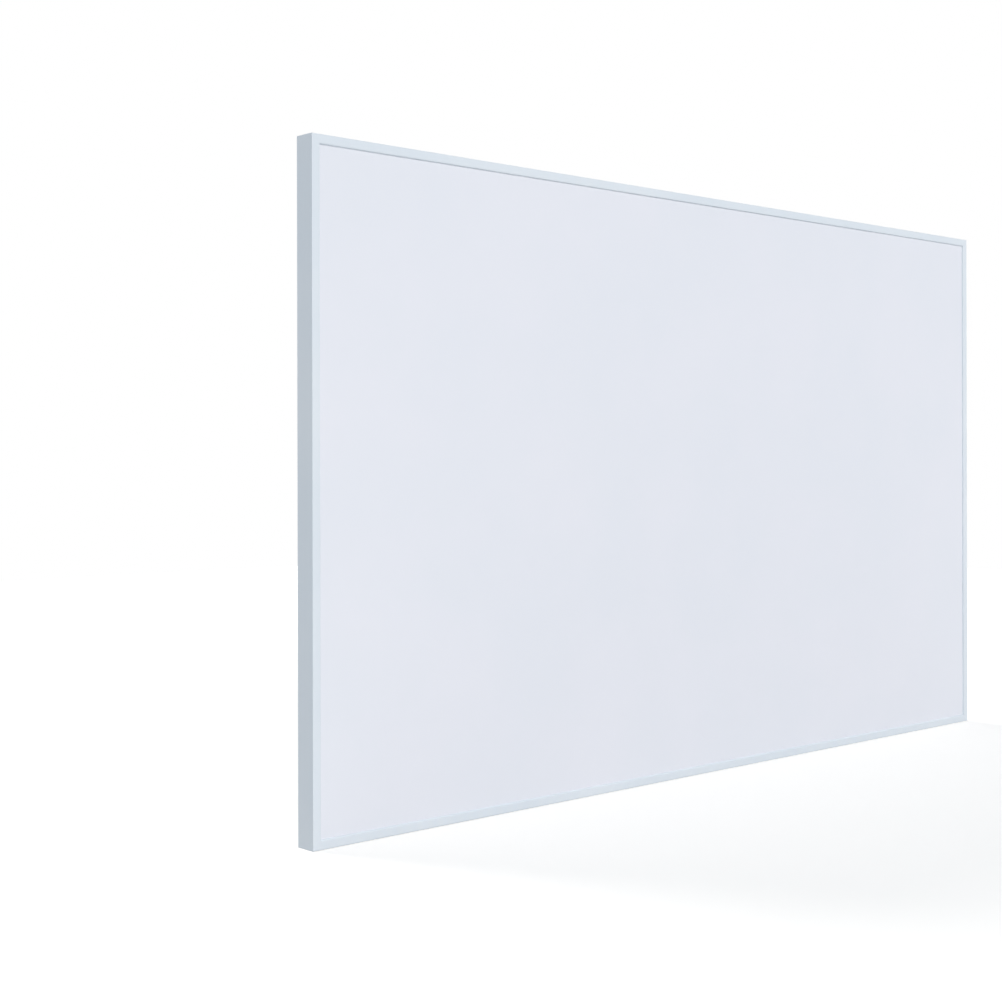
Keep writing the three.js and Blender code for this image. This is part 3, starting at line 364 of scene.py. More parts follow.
def revolve(name, profile, place, segments=48):
    """A profile of radius and level, turned. place gives a point from two offsets and a level."""
    turns = [2 * math.pi * j / segments for j in range(segments)]
    rings = [[place(r * math.cos(a), r * math.sin(a), level) for a in turns] for r, level in profile]
    return loft(name, rings)


def settle(obj):
    """Makes an object's modifiers part of its mesh."""
    graph = bpy.context.evaluated_depsgraph_get()
    mesh = bpy.data.meshes.new_from_object(obj.evaluated_get(graph))
    obj.modifiers.clear()
    obj.data = mesh
    return obj


def combine(obj, operation, *tools):
    """Cuts the tools from an object or joins them to it, and removes them."""
    for tool in tools:
        modifier = obj.modifiers.new("combine", "BOOLEAN")
        modifier.operation = operation
        modifier.solver = "EXACT"
        modifier.object = tool
    settle(obj)
    for tool in tools:
        bpy.data.objects.remove(tool)
    return obj


def cut(obj, *tools):
    return combine(obj, "DIFFERENCE", *tools)


def even_normals(obj):
    """Keeps wide flat faces flat beside small rounded edges."""
    modifier = obj.modifiers.new("normals", "WEIGHTED_NORMAL")
    modifier.keep_sharp = True
    return settle(obj)


def dress(obj, material, nodes=(), sharp=40, body="heater"):
    """Gives a piece its finish and its body, and hides the solids that it stands for."""
    if material is not None:
        obj.data.materials.clear()
        obj.data.materials.append(material)
    if obj.type == "MESH":
        obj.data.shade_smooth()
        obj.data.set_sharp_from_angle(angle=math.radians(sharp))
        even_normals(obj)
    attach(obj, body)
    if nodes:
        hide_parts(*nodes)
    return obj


# --- Cord ---

CORD_RADIUS = 3.5
COIL_TURNS = 5.5
COIL_INNER_RADIUS = 22.5
COIL_STRAND_GAP = 0.5
COIL_OVAL = 1.13
COIL_FLOAT = 1.35
COIL_STEPS = 24
COIL_SPREAD = (0.42, 0.1)
COIL_SPREAD_ANGLE = 200
COIL_SPREAD_POWER = 5
COIL_END_ANGLE = 60
COIL_END_RISE = 8.4
COIL_END_IN = 3
COIL_FROM_EDGE = 243
COIL_DROP = 21.5
LEAD_STEPS = 5
FACE_GAP = 0.3
GLAND_HEIGHT = 9.5
CORD_IN_GLAND = 2.0
CORD_IN_NECK = 4.0

cover_rear = box_mm("back_cover")[1].y
panel_right = box_mm("frame_right")[1].x
panel_middle = (box_mm("frame_bottom")[0].z + box_mm("frame_top")[1].z) / 2
lid_low, lid_high = box_mm("box_lid")
lid_middle = (lid_low + lid_high) / 2
gland_low, gland_high = box_mm("cord_gland")
coil_x = panel_right - COIL_FROM_EDGE
coil_z = panel_middle - COIL_DROP
strand_pitch = 2 * CORD_RADIUS + COIL_STRAND_GAP
half_turns = COIL_TURNS / 2


def coil_at(turns):
    """The coil's line after a number of turns: its angle, radius and level."""
    angle = -90 + 360 * turns
    climb = smoothstep((turns - half_turns) * 2 + 0.5)
    spread = lerp(COIL_SPREAD[0], COIL_SPREAD[1], climb)
    facing = (1 + math.cos(math.radians(angle - COIL_SPREAD_ANGLE))) / 2
    pitch = strand_pitch * (1 + spread * facing**COIL_SPREAD_POWER)
    ending = smoothstep(1 - (COIL_TURNS - turns) * 360 / COIL_END_ANGLE)
    radius = COIL_INNER_RADIUS + abs(turns - half_turns) * pitch - ending**2 * COIL_END_IN
    level = cover_rear + COIL_FLOAT + CORD_RADIUS + climb * strand_pitch + ending * COIL_END_RISE
    return math.radians(angle), radius, level


def coil_point(turns):
    angle, radius, level = coil_at(turns)
    return Vector((
        coil_x - COIL_OVAL * radius * math.cos(angle),
        level,
        coil_z + radius * math.sin(angle),
    ))


coil_steps = round(COIL_TURNS * COIL_STEPS)
coil_straight = Vector((2 * CORD_RADIUS, 0, 0))
coil_start = coil_point(0) + coil_straight
coil_end = coil_point(COIL_TURNS) + coil_straight

# The lead, from the gland's mouth: down, over towards the coil, and onto the cover.
LEAD_ROUTE = [
    (0, 9.5, 0),
    (0, 9.5, -4),
    (-3.2, 9, -8.2),
    (-10, 8.2, -12),
    (-19.5, 7.4, -14),
    (-31, 6.4, -15.2),
    (-48, 5.4, -16.4),
    (-68, 4.8, -18.2),
    (-88, 4.7, -21.6),
    (-104, 4.7, -26),
]
LEAD_LAST = (12, 0, 0.3)


def centripetal(points, steps):
    """Points along a centripetal Catmull-Rom curve, a few for each span."""
    ends = [2 * points[0] - points[1], *points, 2 * points[-1] - points[-2]]
    out = []
    for p0, p1, p2, p3 in zip(ends, ends[1:], ends[2:], ends[3:]):
        t1 = math.sqrt((p1 - p0).length)
        t2 = t1 + math.sqrt((p2 - p1).length)
        t3 = t2 + math.sqrt((p3 - p2).length)
        for i in range(steps):
            t = lerp(t1, t2, i / steps)
            a1 = p0.lerp(p1, t / t1)
            a2 = p1.lerp(p2, (t - t1) / (t2 - t1))
            a3 = p2.lerp(p3, (t - t2) / (t3 - t2))
            b1 = a1.lerp(a2, t / t2)
            b2 = a2.lerp(a3, (t - t1) / (t3 - t1))
            out.append(b1.lerp(b2, (t - t1) / (t2 - t1)))
    return [*out, points[-1]]


def cord_line():
    """The cord's whole middle line, from inside the gland to inside the plug's neck."""
    mouth = Vector((lid_middle.x, cover_rear, gland_low.z - FACE_GAP))
    lead = [mouth + Vector(offset) for offset in LEAD_ROUTE]
    lead.append(coil_start + Vector(LEAD_LAST))
    lead.append(coil_start)
    inside_gland = lead[0] + Vector((0, 0, CORD_IN_GLAND))
    turns = [coil_point(i / COIL_STEPS / 2) for i in range(2 * coil_steps + 1)]
    inside_neck = coil_end + Vector((CORD_IN_NECK, 0, 0))
    return [inside_gland, *centripetal(lead, LEAD_STEPS), *turns, coil_end, inside_neck]


def make_cord():
    line = cord_line()
    curve = bpy.data.curves.new("mains_cord", "CURVE")
    curve.dimensions = "3D"
    curve.bevel_depth = CORD_RADIUS * MM
    curve.bevel_resolution = 7
    curve.use_fill_caps = True
    spline = curve.splines.new("POLY")
    spline.points.add(len(line) - 1)
    for point, place in zip(spline.points, line):
        point.co = (*(place * MM), 1)
    spline.use_smooth = True
    curve.materials.append(CORD_PVC)
    cord = bpy.data.objects.new("mains_cord", curve)
    bpy.context.scene.collection.objects.link(cord)
    dress(cord, None, ("cord_lead", "cord_coil"))


# --- Plug ---

PLUG_WIDTH = 36
PLUG_THICKNESS = 26
PLUG_CORNER = 9
PLUG_BLOCK = 20
PLUG_TAPER = 10
PLUG_EDGE = 1.2
PLUG_HEADING = 28
PLUG_TILT = 21
PLUG_FROM_COIL = (51.2, 54.2)
PLUG_LIFT = 12.1
PLUG_PIN_SPACING = 19
PLUG_PIN_RADIUS = 2.4
PLUG_PIN_LENGTH = 19
PLUG_PIN_ROOT = -1.0
PLUG_PIN_NOSE = 1.4
PLUG_PIN_NOSE_STEPS = 7
PLUG_GROOVE_FROM_SIDE = 7.5
PLUG_GROOVE_WIDTH = 1.1
PLUG_GROOVE_DEPTH = 0.7
# Shares of the flat side's half width: how far out a groove may lie, and its half width at most.
GROOVE_REACH = 0.9
NECK_GROOVE_REACH = 0.6
GROOVE_SHARE = 0.08
GROOVE_FLOOR = (0.3, 0.7)
FACE_STEPS = 4
TAPER_STEPS = 9
SHOULDER_WIDTH = 20
SHOULDER_THICKNESS = 15
NECK_TIP_RADIUS = 5.2
NECK_STEPS = 22
NECK_LEAVES = 8
NECK_ENTERS = 18
ROUND_CORNER = 0.97

plug_face = Vector((coil_x + PLUG_FROM_COIL[0], cover_rear + PLUG_LIFT, coil_z + PLUG_FROM_COIL[1]))
# Columns: across the pins, through the thickness, and the pins' way, which leans down to the cover.
plug_turn = (
    Matrix.Rotation(math.radians(PLUG_HEADING), 3, "Y")
    @ Matrix.Rotation(math.radians(PLUG_TILT), 3, "X")
)


def in_plug(x, y, z):
    return plug_face + plug_turn @ Vector((x, y, z))


def plug_outline(half_u, half_v, radius, groove):
    """A rounded outline whose two long sides carry two grooves each."""
    u = half_u - radius
    v = half_v - radius
    places = []
    if half_u > PLUG_GROOVE_FROM_SIDE:
        middle = min(half_u - PLUG_GROOVE_FROM_SIDE, GROOVE_REACH * u)
    else:
        middle = NECK_GROOVE_REACH * u
    half = min(PLUG_GROOVE_WIDTH / 2, GROOVE_SHARE * u)
    for side in (1, -1):
        near, far = side * middle + half, side * middle - half
        floor = [(lerp(near, far, share), 1) for share in GROOVE_FLOOR]
        places += [(near, 0), *floor, (far, 0)]
    top = [(x, half_v - deep * groove) for x, deep in places]
    bottom = [(-x, -y) for x, y in top]
    return [
        *arc(u, -v, radius, -90, 0),
        *arc(u, v, radius, 0, 90),
        *top,
        *arc(-u, v, radius, 90, 180),
        *arc(-u, -v, radius, 180, 270),
        *bottom,
    ]


def plug_stations():
    """Sections of the body from its face to the shoulder: distance, half sizes, corner and groove."""
    half_u = PLUG_WIDTH / 2
    half_v = PLUG_THICKNESS / 2
    stations = []
    for i in range(FACE_STEPS + 1):
        a = math.radians(90 * i / FACE_STEPS)
        inset = PLUG_EDGE * (1 - math.sin(a))
        back = PLUG_EDGE * (1 - math.cos(a))
        stations.append((back, half_u - inset, half_v - inset, PLUG_CORNER - inset, PLUG_GROOVE_DEPTH))
    stations.append((PLUG_BLOCK * 0.9, half_u, half_v, PLUG_CORNER, PLUG_GROOVE_DEPTH))
    for i in range(TAPER_STEPS + 1):
        t = i / TAPER_STEPS
        size_u = lerp(half_u, SHOULDER_WIDTH / 2, t)
        size_v = lerp(half_v, SHOULDER_THICKNESS / 2, t)
        corner = lerp(PLUG_CORNER, ROUND_CORNER * size_v, t)
        groove = PLUG_GROOVE_DEPTH * (1 - smoothstep(3 * t))
        stations.append((lerp(PLUG_BLOCK, PLUG_BLOCK + PLUG_TAPER, t), size_u, size_v, corner, groove))
    return stations


def bezier(p0, p1, p2, p3, t):
    s = 1 - t
    return p0 * s**3 + 3 * p1 * s * s * t + 3 * p2 * s * t * t + p3 * t**3


def make_plug_body():
    rings = []
    for back, half_u, half_v, corner, groove in plug_stations():
        outline = plug_outline(half_u, half_v, corner, groove)
        rings.append([in_plug(u, v, -back) for u, v in outline])
    tip = coil_end + Vector((FACE_GAP, 0, 0))
    route = (
        in_plug(0, 0, -PLUG_BLOCK - PLUG_TAPER),
        in_plug(0, 0, -PLUG_BLOCK - PLUG_TAPER - NECK_LEAVES),
        tip + Vector((NECK_ENTERS, 0, 0)),
        tip,
    )
    line = [bezier(*route, i / NECK_STEPS) for i in range(NECK_STEPS + 1)]
    side = plug_turn @ Vector((1, 0, 0))
    for i in range(1, len(line)):
        ahead = line[min(i + 1, NECK_STEPS)]
        way = (ahead - line[i - 1]).normalized()
        side = (side - way * side.dot(way)).normalized()
        up = side.cross(way)
        narrow = math.sqrt(i / NECK_STEPS)
        size_u = lerp(SHOULDER_WIDTH / 2, NECK_TIP_RADIUS, narrow)
        size_v = lerp(SHOULDER_THICKNESS / 2, NECK_TIP_RADIUS, narrow)
        outline = plug_outline(size_u, size_v, ROUND_CORNER * size_v, 0)
        rings.append([line[i] + side * u + up * v for u, v in outline])
    body = loft("plug_shell", rings)
    return dress(body, PLUG_PVC, ("plug_body",), 30)


def make_plug_pin(index):
    side = (-0.5, 0.5)[index - 1] * PLUG_PIN_SPACING
    r = PLUG_PIN_RADIUS
    nose = PLUG_PIN_NOSE * r
    profile = [(AXIS, PLUG_PIN_ROOT), (r, PLUG_PIN_ROOT), (r, PLUG_PIN_LENGTH - nose)]
    for i in range(1, PLUG_PIN_NOSE_STEPS + 1):
        a = math.radians(88 * i / PLUG_PIN_NOSE_STEPS)
        profile.append((r * math.cos(a), PLUG_PIN_LENGTH - nose * (1 - math.sin(a))))
    pin = revolve(f"plug_pin_bright_{index}", profile, lambda u, v, z: in_plug(side + u, v, z), 32)
    return dress(pin, NICKEL, (f"plug_pin_{index}",), 35)


# --- Film ties round the coil ---

TIE_ANGLES = {"tie_upper": 48, "tie_lower": -68}
TIE_WIDTH = 10
TIE_SLACK = 0.65
TIE_ROUND = 72
TIE_ACROSS = 12
TIE_CORNER_STEPS = 8
FILM_THICKNESS = 0.18
FILM_HALF_WIDTH = (6.5, 1.6)
FILM_SLANT = 2.5
FILM_SLANT_START = 0.8
PLEATS = 4.5
PLEAT_WANDER = 3
# How far the film stands off the strands: everywhere, by its pleats and by its crumples.
FILM_LIFT = (0.15, 0.6, 0.6)
FILM_LIFT_BELOW = 0.35
KNOT_OUTWARD = 0.22
KNOT_RISE = 1.2
KNOT_RINGS = 12
KNOT_SEGMENTS = 20
KNOT_SIZE = (2.3, 1.5, 2.6)
KNOT_CREASE = (0.5, 0.12)
KNOT_THINNEST = 0.3
# Each tail: its side, its length, and how far it bends outwards.
TAILS = ((1, 11, 0.35), (-1, 9, 0.7))
TAIL_STEPS = 22
TAIL_ARCH = 1.6
TAIL_DROOP = 3.0
TAIL_HALF_WIDTH = (0.9, 5.2)
TAIL_WIDTH_WAVE = 0.8
TAIL_WAVE = 1.1
TAIL_WAVE_RISE = 0.6
TAIL_FLOAT = 0.5
TAIL_RAGGED = 1.6


def tie_section(outward, along, centre):
    """The bounds of the strands that run through a tie: outwards from the coil's centre, and level."""
    reaches = []
    levels = []
    for i in range(4 * coil_steps + 1):
        place = coil_point(i / COIL_STEPS / 4) - centre
        if place.dot(outward) > 0 and abs(place.dot(along)) < TIE_WIDTH / 2:
            reaches.append(place.dot(outward))
            levels.append(place.y)
    reach = CORD_RADIUS + TIE_SLACK
    return (min(reaches) - reach, max(reaches) + reach), (min(levels) - reach, max(levels) + reach)


def film_grid(name, rows, closed):
    """A thin film through rows of points."""
    count = len(rows[0])
    points = [p for row in rows for p in row]
    spans = len(rows) if closed else len(rows) - 1
    faces = []
    for i in range(spans):
        j = (i + 1) % len(rows)
        near, far = i * count, j * count
        faces += [(near + k, near + k + 1, far + k + 1, far + k) for k in range(count - 1)]
    film = mesh_object(name, points, faces)
    thicken = film.modifiers.new("thicken", "SOLIDIFY")
    thicken.thickness = FILM_THICKNESS * MM
    thicken.offset = 0
    return settle(film)


def make_tie(name, angle):
    """A strip of thin film drawn round the strands, crumpled, with two short tails from its knot."""
    turn = math.radians(angle)
    outward = Vector((-COIL_OVAL * math.cos(turn), 0, math.sin(turn))).normalized()
    up = Vector((0, 1, 0))
    along = outward.cross(up)
    centre = Vector((coil_x, 0, coil_z))
    (r0, r1), (l0, l1) = tie_section(outward, along, centre)
    middle = centre + outward * (r0 + r1) / 2 + up * (l0 + l1) / 2
    seed = Vector((angle, 3 * angle, 0.7 * angle))

    def round_strands(t, w):
        outline = rounded_rect((r1 - r0) / 2, (l1 - l0) / 2, CORD_RADIUS, TIE_CORNER_STEPS)
        spot = t * len(outline)
        i = int(spot) % len(outline)
        u, v = Vector(outline[i]).lerp(Vector(outline[(i + 1) % len(outline)]), spot - int(spot))
        normal = Vector((u / (r1 - r0), v / (l1 - l0))).normalized()
        swirl = Vector((math.cos(2 * math.pi * t), math.sin(2 * math.pi * t), 0))
        width = FILM_HALF_WIDTH[0] + FILM_HALF_WIDTH[1] * noise.noise(seed + swirl * 1.3)
        slant = FILM_SLANT * math.sin(2 * math.pi * t + FILM_SLANT_START)
        pleat = 0.5 + 0.5 * math.sin(w * PLEATS + PLEAT_WANDER * noise.noise(seed + swirl * 1.6))
        crumple = noise.noise(seed + swirl * 2.2 + Vector((0, 0, 1.1 * w)))
        lift = FILM_LIFT[0] + FILM_LIFT[1] * pleat + FILM_LIFT[2] * abs(crumple)
        lift *= 1 if v > 0 else FILM_LIFT_BELOW
        place = middle + outward * (u + normal.x * lift) + up * (v + normal.y * lift)
        return place + along * (w * width + slant)

    spread = [lerp(-1, 1, k / TIE_ACROSS) for k in range(TIE_ACROSS + 1)]
    rows = [[round_strands(i / TIE_ROUND, w) for w in spread] for i in range(TIE_ROUND)]
    wrap = film_grid(f"{name}_film", rows, True)

    knot = middle + outward * (r1 - r0) * KNOT_OUTWARD + up * ((l1 - l0) / 2 + KNOT_RISE)

    def tail(side, length, bend):
        strip = []
        for i in range(TAIL_STEPS + 1):
            t = i / TAIL_STEPS
            reach = t * length
            way = (along * side + outward * bend).normalized()
            rise = TAIL_ARCH * math.sin(math.pi * t) - TAIL_DROOP * t * t
            middle_line = knot + way * reach + up * rise
            across = way.cross(up)
            sway = noise.noise(seed + Vector((reach * 0.4, side, 0)))
            half = lerp(*TAIL_HALF_WIDTH, smoothstep(t * 1.4)) + TAIL_WIDTH_WAVE * sway
            row = []
            for w in spread:
                wave = TAIL_WAVE * smoothstep(t * 2) * math.sin(w * 4 + side + 2 * t)
                ruffle = noise.noise(seed + Vector((reach * 0.25, 1.1 * w, 5 * side)))
                tear = noise.noise(seed + Vector((3 * w, side, 9))) if i == TAIL_STEPS else 0
                lifted = up * (TAIL_FLOAT + wave * TAIL_WAVE_RISE + ruffle)
                row.append(middle_line + across * (half * w) + lifted + way * (TAIL_RAGGED * tear))
            strip.append(row)
        return film_grid(f"{name}_tail", strip, False)

    def knot_ball():
        rings = []
        for i in range(KNOT_RINGS + 1):
            a = math.pi * i / KNOT_RINGS
            ring = []
            for j in range(KNOT_SEGMENTS):
                b = 2 * math.pi * j / KNOT_SEGMENTS
                way = Vector((math.sin(a) * math.cos(b), math.sin(a) * math.sin(b), math.cos(a)))
                crease = 1 + KNOT_CREASE[0] * noise.noise(seed + way * 2.2)
                crease += KNOT_CREASE[1] * math.sin(5 * b + 3 * a)
                bulge = way * max(crease, KNOT_THINNEST)
                wide, high, long = KNOT_SIZE
                ring.append(knot + along * long * bulge.z + outward * wide * bulge.x + up * high * bulge.y)
            rings.append(ring)
        return loft(f"{name}_knot", rings[1:-1])

    tie = combine_meshes(wrap, *[tail(*shape) for shape in TAILS], knot_ball())
    return dress(tie, TIE_FILM, (name,), 55)


def combine_meshes(first, *others):
    """Puts several meshes into the first one's object."""
    build = bmesh.new()
    build.from_mesh(first.data)
    for other in others:
        build.from_mesh(other.data)
        bpy.data.objects.remove(other)
    build.to_mesh(first.data)
    build.free()
    return first


plug_shell = make_plug_body()
plug_pins = [make_plug_pin(1), make_plug_pin(2)]
ties = [make_tie(name, angle) for name, angle in TIE_ANGLES.items()]


# --- Gland ---

# The skin from the tip upwards: radius, and height over the tip.
GLAND_SKIN = (
    (4.2, 0),
    (5.0, 0.25),
    (5.5, 0.9),
    (5.9, 1.5),
    (5.5, 1.8),
    (5.9, 2.2),
    (6.7, 3.0),
    (6.5, 3.3),
    (7.1, 3.7),
    (8.1, 4.4),
)
GLAND_FLANGE_OUT = 8.5
GLAND_FLANGE_EDGE = (8.3, 0.25)
GLAND_NECK = 6
GLAND_COLLAR = (7.4, 2)
GLAND_TUBE = 5
GLAND_WALL = 2
GLAND_HOLE = 6.2


def make_gland():
    """A short rubber cone under the box, with two rings, and its neck and flange in the box's wall."""
    x = lid_middle.x
    y = cover_rear + GLAND_HEIGHT
    out = lid_low.z - FACE_GAP
    tip = gland_low.z
    wall_in = lid_low.z + GLAND_WALL + FACE_GAP
    edge, bevel = GLAND_FLANGE_EDGE
    collar, collar_height = GLAND_COLLAR
    profile = [
        (AXIS, tip),
        *[(radius, tip + height) for radius, height in GLAND_SKIN],
        (GLAND_FLANGE_OUT, out - bevel),
        (edge, out),
        (GLAND_NECK, out),
        (GLAND_NECK, wall_in),
        (collar, wall_in),
        (collar, wall_in + collar_height),
        (GLAND_TUBE, wall_in + collar_height),
        (GLAND_TUBE, gland_high.z),
        (AXIS, gland_high.z),
    ]
    gland = revolve("gland_sleeve", profile, lambda u, v, z: Vector((x + u, y + v, z)))
    return dress(gland, GLAND_RUBBER, ("cord_gland",), 50)


gland_sleeve = make_gland()
make_cord()


# --- Frame ---

FRAME_WALL = 1.4
LIP_WIDTH = 8.5
LIP_THICKNESS = 1.6
FLANGE_WIDTH = 19
FLANGE_THICKNESS = 1.5
WEB_WIDTH = 16
WEB_THICKNESS = 1.2
EDGE_RADIUS = 0.6
LIP_INNER_RADIUS = 1.4
MITRE_GAP = 0.03
HOLE_CLEARANCE = 0.2
SCREW_SHANK = 2
SCREW_HEAD = 4
SCREW_HEAD_DEPTH = 2

frame_front = box_mm("frame_bottom")[0].y
frame_rear = box_mm("frame_bottom")[1].y
panel_left = box_mm("frame_left")[0].x
panel_bottom = box_mm("frame_bottom")[0].z
panel_top = box_mm("frame_top")[1].z


def frame_section():
    """A bar's section: inwards from the outer face, and y."""
    r = EDGE_RADIUS
    inner = LIP_INNER_RADIUS
    plate_front = frame_front + LIP_THICKNESS
    flange_front = frame_rear - FLANGE_THICKNESS
    return [
        *arc(r, frame_front + r, r, 180, 270),
        *arc(LIP_WIDTH - inner, frame_front + inner, inner, 270, 360),
        (LIP_WIDTH, plate_front),
        (FRAME_WALL, plate_front),
        (FRAME_WALL, cover_rear),
        (WEB_WIDTH, cover_rear),
        (WEB_WIDTH, cover_rear + WEB_THICKNESS),
        (FRAME_WALL, cover_rear + WEB_THICKNESS),
        (FRAME_WALL, flange_front),
        (FLANGE_WIDTH, flange_front),
        *arc(FLANGE_WIDTH - r, frame_rear - r, r, 0, 90),
        *arc(r, frame_rear - r, r, 90, 180),
    ]


def screw_place(node):
    low, high = box_mm(node)
    return (low + high) / 2


def about(place):
    """A turned shape's points about a line along y."""
    return lambda u, v, level: Vector((place.x + u, level, place.z + v))


def screw_hole(place):
    below = cover_rear + WEB_THICKNESS + 0.1
    head = SCREW_HEAD + HOLE_CLEARANCE
    shank = SCREW_SHANK + HOLE_CLEARANCE
    profile = [
        (AXIS, below),
        (shank, below),
        (shank, frame_rear - SCREW_HEAD_DEPTH),
        (head, frame_rear),
        (head, frame_rear + 1),
        (AXIS, frame_rear + 1),
    ]
    return revolve("hole", profile, about(place))


def make_frame_bar(side, middle, along, inward, length):
    half = length / 2
    rings = []
    for end in (-1, 1):
        ring = []
        for u, y in frame_section():
            reach = end * (half - u - MITRE_GAP / 2)
            spot = middle + along * reach + inward * u
            ring.append((spot.x, y, spot.z))
        rings.append(ring)
    bar = loft(f"frame_bar_{side}", rings)
    cut(bar, *[screw_hole(screw_place(f"frame_screw_{side}_{i}")) for i in (1, 2)])
    return dress(bar, FRAME_COAT, (f"frame_{side}",), 30)


def make_frame():
    right = Vector((1, 0, 0))
    up = Vector((0, 0, 1))
    width = panel_right - panel_left
    height = panel_top - panel_bottom
    make_frame_bar("bottom", Vector((0, 0, panel_bottom)), right, up, width)
    make_frame_bar("top", Vector((0, 0, panel_top)), -right, -up, width)
    make_frame_bar("left", Vector((panel_left, 0, panel_middle)), -up, right, height)
    make_frame_bar("right", Vector((panel_right, 0, panel_middle)), up, -right, height)


SCREW_TURN = 37
SCREW_TIP = (1.6, 0.4)
SCREW_RIM = 3.9
SCREW_EDGE_BELOW = 0.15
SCREW_EDGE_ABOVE = 0.06
SCREW_DOME = 0.2
SCREW_DOME_STEPS = 5
RECESS_HALF = 2.2
RECESS_ARM = 0.45
RECESS_DEPTH = 1.6
# A recess arm from its foot up: level, half length and half width.
RECESS_SECTIONS = (
    (-RECESS_DEPTH, 0.9, 0.3),
    (0, RECESS_HALF, RECESS_ARM),
    (1, RECESS_HALF * 1.4, RECESS_ARM * 1.2),
)
FOUR_CORNERS = ((-1, -1), (1, -1), (1, 1), (-1, 1))


def recess_arm(place, angle):
    """One tapered arm pair of a cross recess."""
    u = Vector((math.cos(angle), 0, math.sin(angle)))
    v = Vector((-math.sin(angle), 0, math.cos(angle)))
    rings = []
    for level, long, wide in RECESS_SECTIONS:
        base = Vector((place.x, frame_rear + level, place.z))
        rings.append([base + u * a * long + v * b * wide for a, b in FOUR_CORNERS])
    return loft("recess", rings)


def make_frame_screw(index, node):
    place = screw_place(node)
    low = box_mm(node)[0].y
    tip, tip_length = SCREW_TIP
    brim = frame_rear + SCREW_EDGE_ABOVE
    profile = [
        (AXIS, low),
        (tip, low),
        (SCREW_SHANK, low + tip_length),
        (SCREW_SHANK, frame_rear - SCREW_HEAD_DEPTH),
        (SCREW_RIM, frame_rear - SCREW_EDGE_BELOW),
        (SCREW_HEAD, frame_rear),
        (SCREW_RIM, brim),
    ]
    for i in range(1, SCREW_DOME_STEPS + 1):
        t = i / SCREW_DOME_STEPS
        profile.append((lerp(SCREW_RIM, AXIS, t), brim + SCREW_DOME * math.sin(t * math.pi / 2)))
    screw = revolve(f"cross_head_{index}", profile, about(place))
    angle = math.radians(SCREW_TURN * index % 90)
    cut(screw, recess_arm(place, angle), recess_arm(place, angle + math.pi / 2))
    return dress(screw, ZINC, (node,), 35)


make_frame()
screw_nodes = [f"frame_screw_{side}_{i}" for side in ("bottom", "top", "left", "right") for i in (1, 2)]
for index, node in enumerate(screw_nodes):
    make_frame_screw(index, node)


# --- Rails and caps ---

RAIL_WALL = 1.2
RAIL_CORNER = 1.5
CAP_FLANGE = 3
CAP_CORNER = 2.5
CAP_EDGE = 0.7
CAP_EDGE_STEPS = 5
CAP_ROOT = ((0, 0.1), (0.15, 0))
# The shallow rim on a cap's face: how far it is in from the sides, and how deep its step is.
CAP_RIM = (1.9, 2.1, 0.25)
CAP_INSERT_DEPTH = 10
CAP_INSERT_WALL = 2
CAP_LEAST_CORNER = 0.6
SLOT_SPACING = 684
SLOT_LENGTH = 45
SLOT_HEIGHT = 28
SLOT_WIDTH = 5
SLOT_HOLE_RADIUS = 4.75
SLOT_EDGE = 0.25
SLOT_END_FLAT = 0.01
RIVET_HOLE = 1.8
RIVET_SPACING = 480


def slot_tool(x, z, outline_at):
    """A cutter through a rail's wall, wider at the surface so that the edge is broken."""
    levels = ((-RAIL_WALL - 1, 0), (-SLOT_EDGE, 0), (0.01, SLOT_EDGE), (1, SLOT_EDGE))
    wall = box_mm("rail_upper")[1].y
    rings = [[(x + u, wall + level, z + v) for u, v in outline_at(grow)] for level, grow in levels]
    return loft("slot", rings)


def make_rail(level):
    low, high = box_mm(f"rail_{level}")
    z = (low.z + high.z) / 2
    y = (low.y + high.y) / 2
    half_y = (high.y - low.y) / 2
    half_z = (high.z - low.z) / 2
    outline = rounded_rect(half_y, half_z, RAIL_CORNER)
    bore = rounded_rect(half_y - RAIL_WALL, half_z - RAIL_WALL, 0.3)
    tube = loft(f"rail_{level}_tube", [[(x, y + u, z + v) for u, v in outline] for x in (low.x, high.x)])
    tools = [loft("bore", [[(x, y + u, z + v) for u, v in bore] for x in (low.x - 1, high.x + 1)])]
    half_slot = SLOT_WIDTH / 2
    end = half_slot - SLOT_END_FLAT
    for x in (-SLOT_SPACING / 2, SLOT_SPACING / 2):
        tools.append(slot_tool(x, z, lambda g: rounded_rect(SLOT_LENGTH / 2 + g, half_slot + g, end + g)))
        tools.append(slot_tool(x, z, lambda g: rounded_rect(half_slot + g, SLOT_HEIGHT / 2 + g, end + g)))
        tools.append(slot_tool(x, z, lambda g: rounded_rect(*[SLOT_HOLE_RADIUS + g] * 3, 10)))
    for x in (-RIVET_SPACING / 2, RIVET_SPACING / 2):
        profile = [(AXIS, low.y - 1), (RIVET_HOLE, low.y - 1), (RIVET_HOLE, low.y + 2), (AXIS, low.y + 2)]
        tools.append(revolve("rivet_hole", profile, about(Vector((x, 0, z))), 24))
    cut(tube, *tools)
    dress(tube, RAIL_COAT, (f"rail_{level}",), 30)
    for side, end in (("left", low.x), ("right", high.x)):
        make_cap(level, side, end, y, z, half_y, half_z)


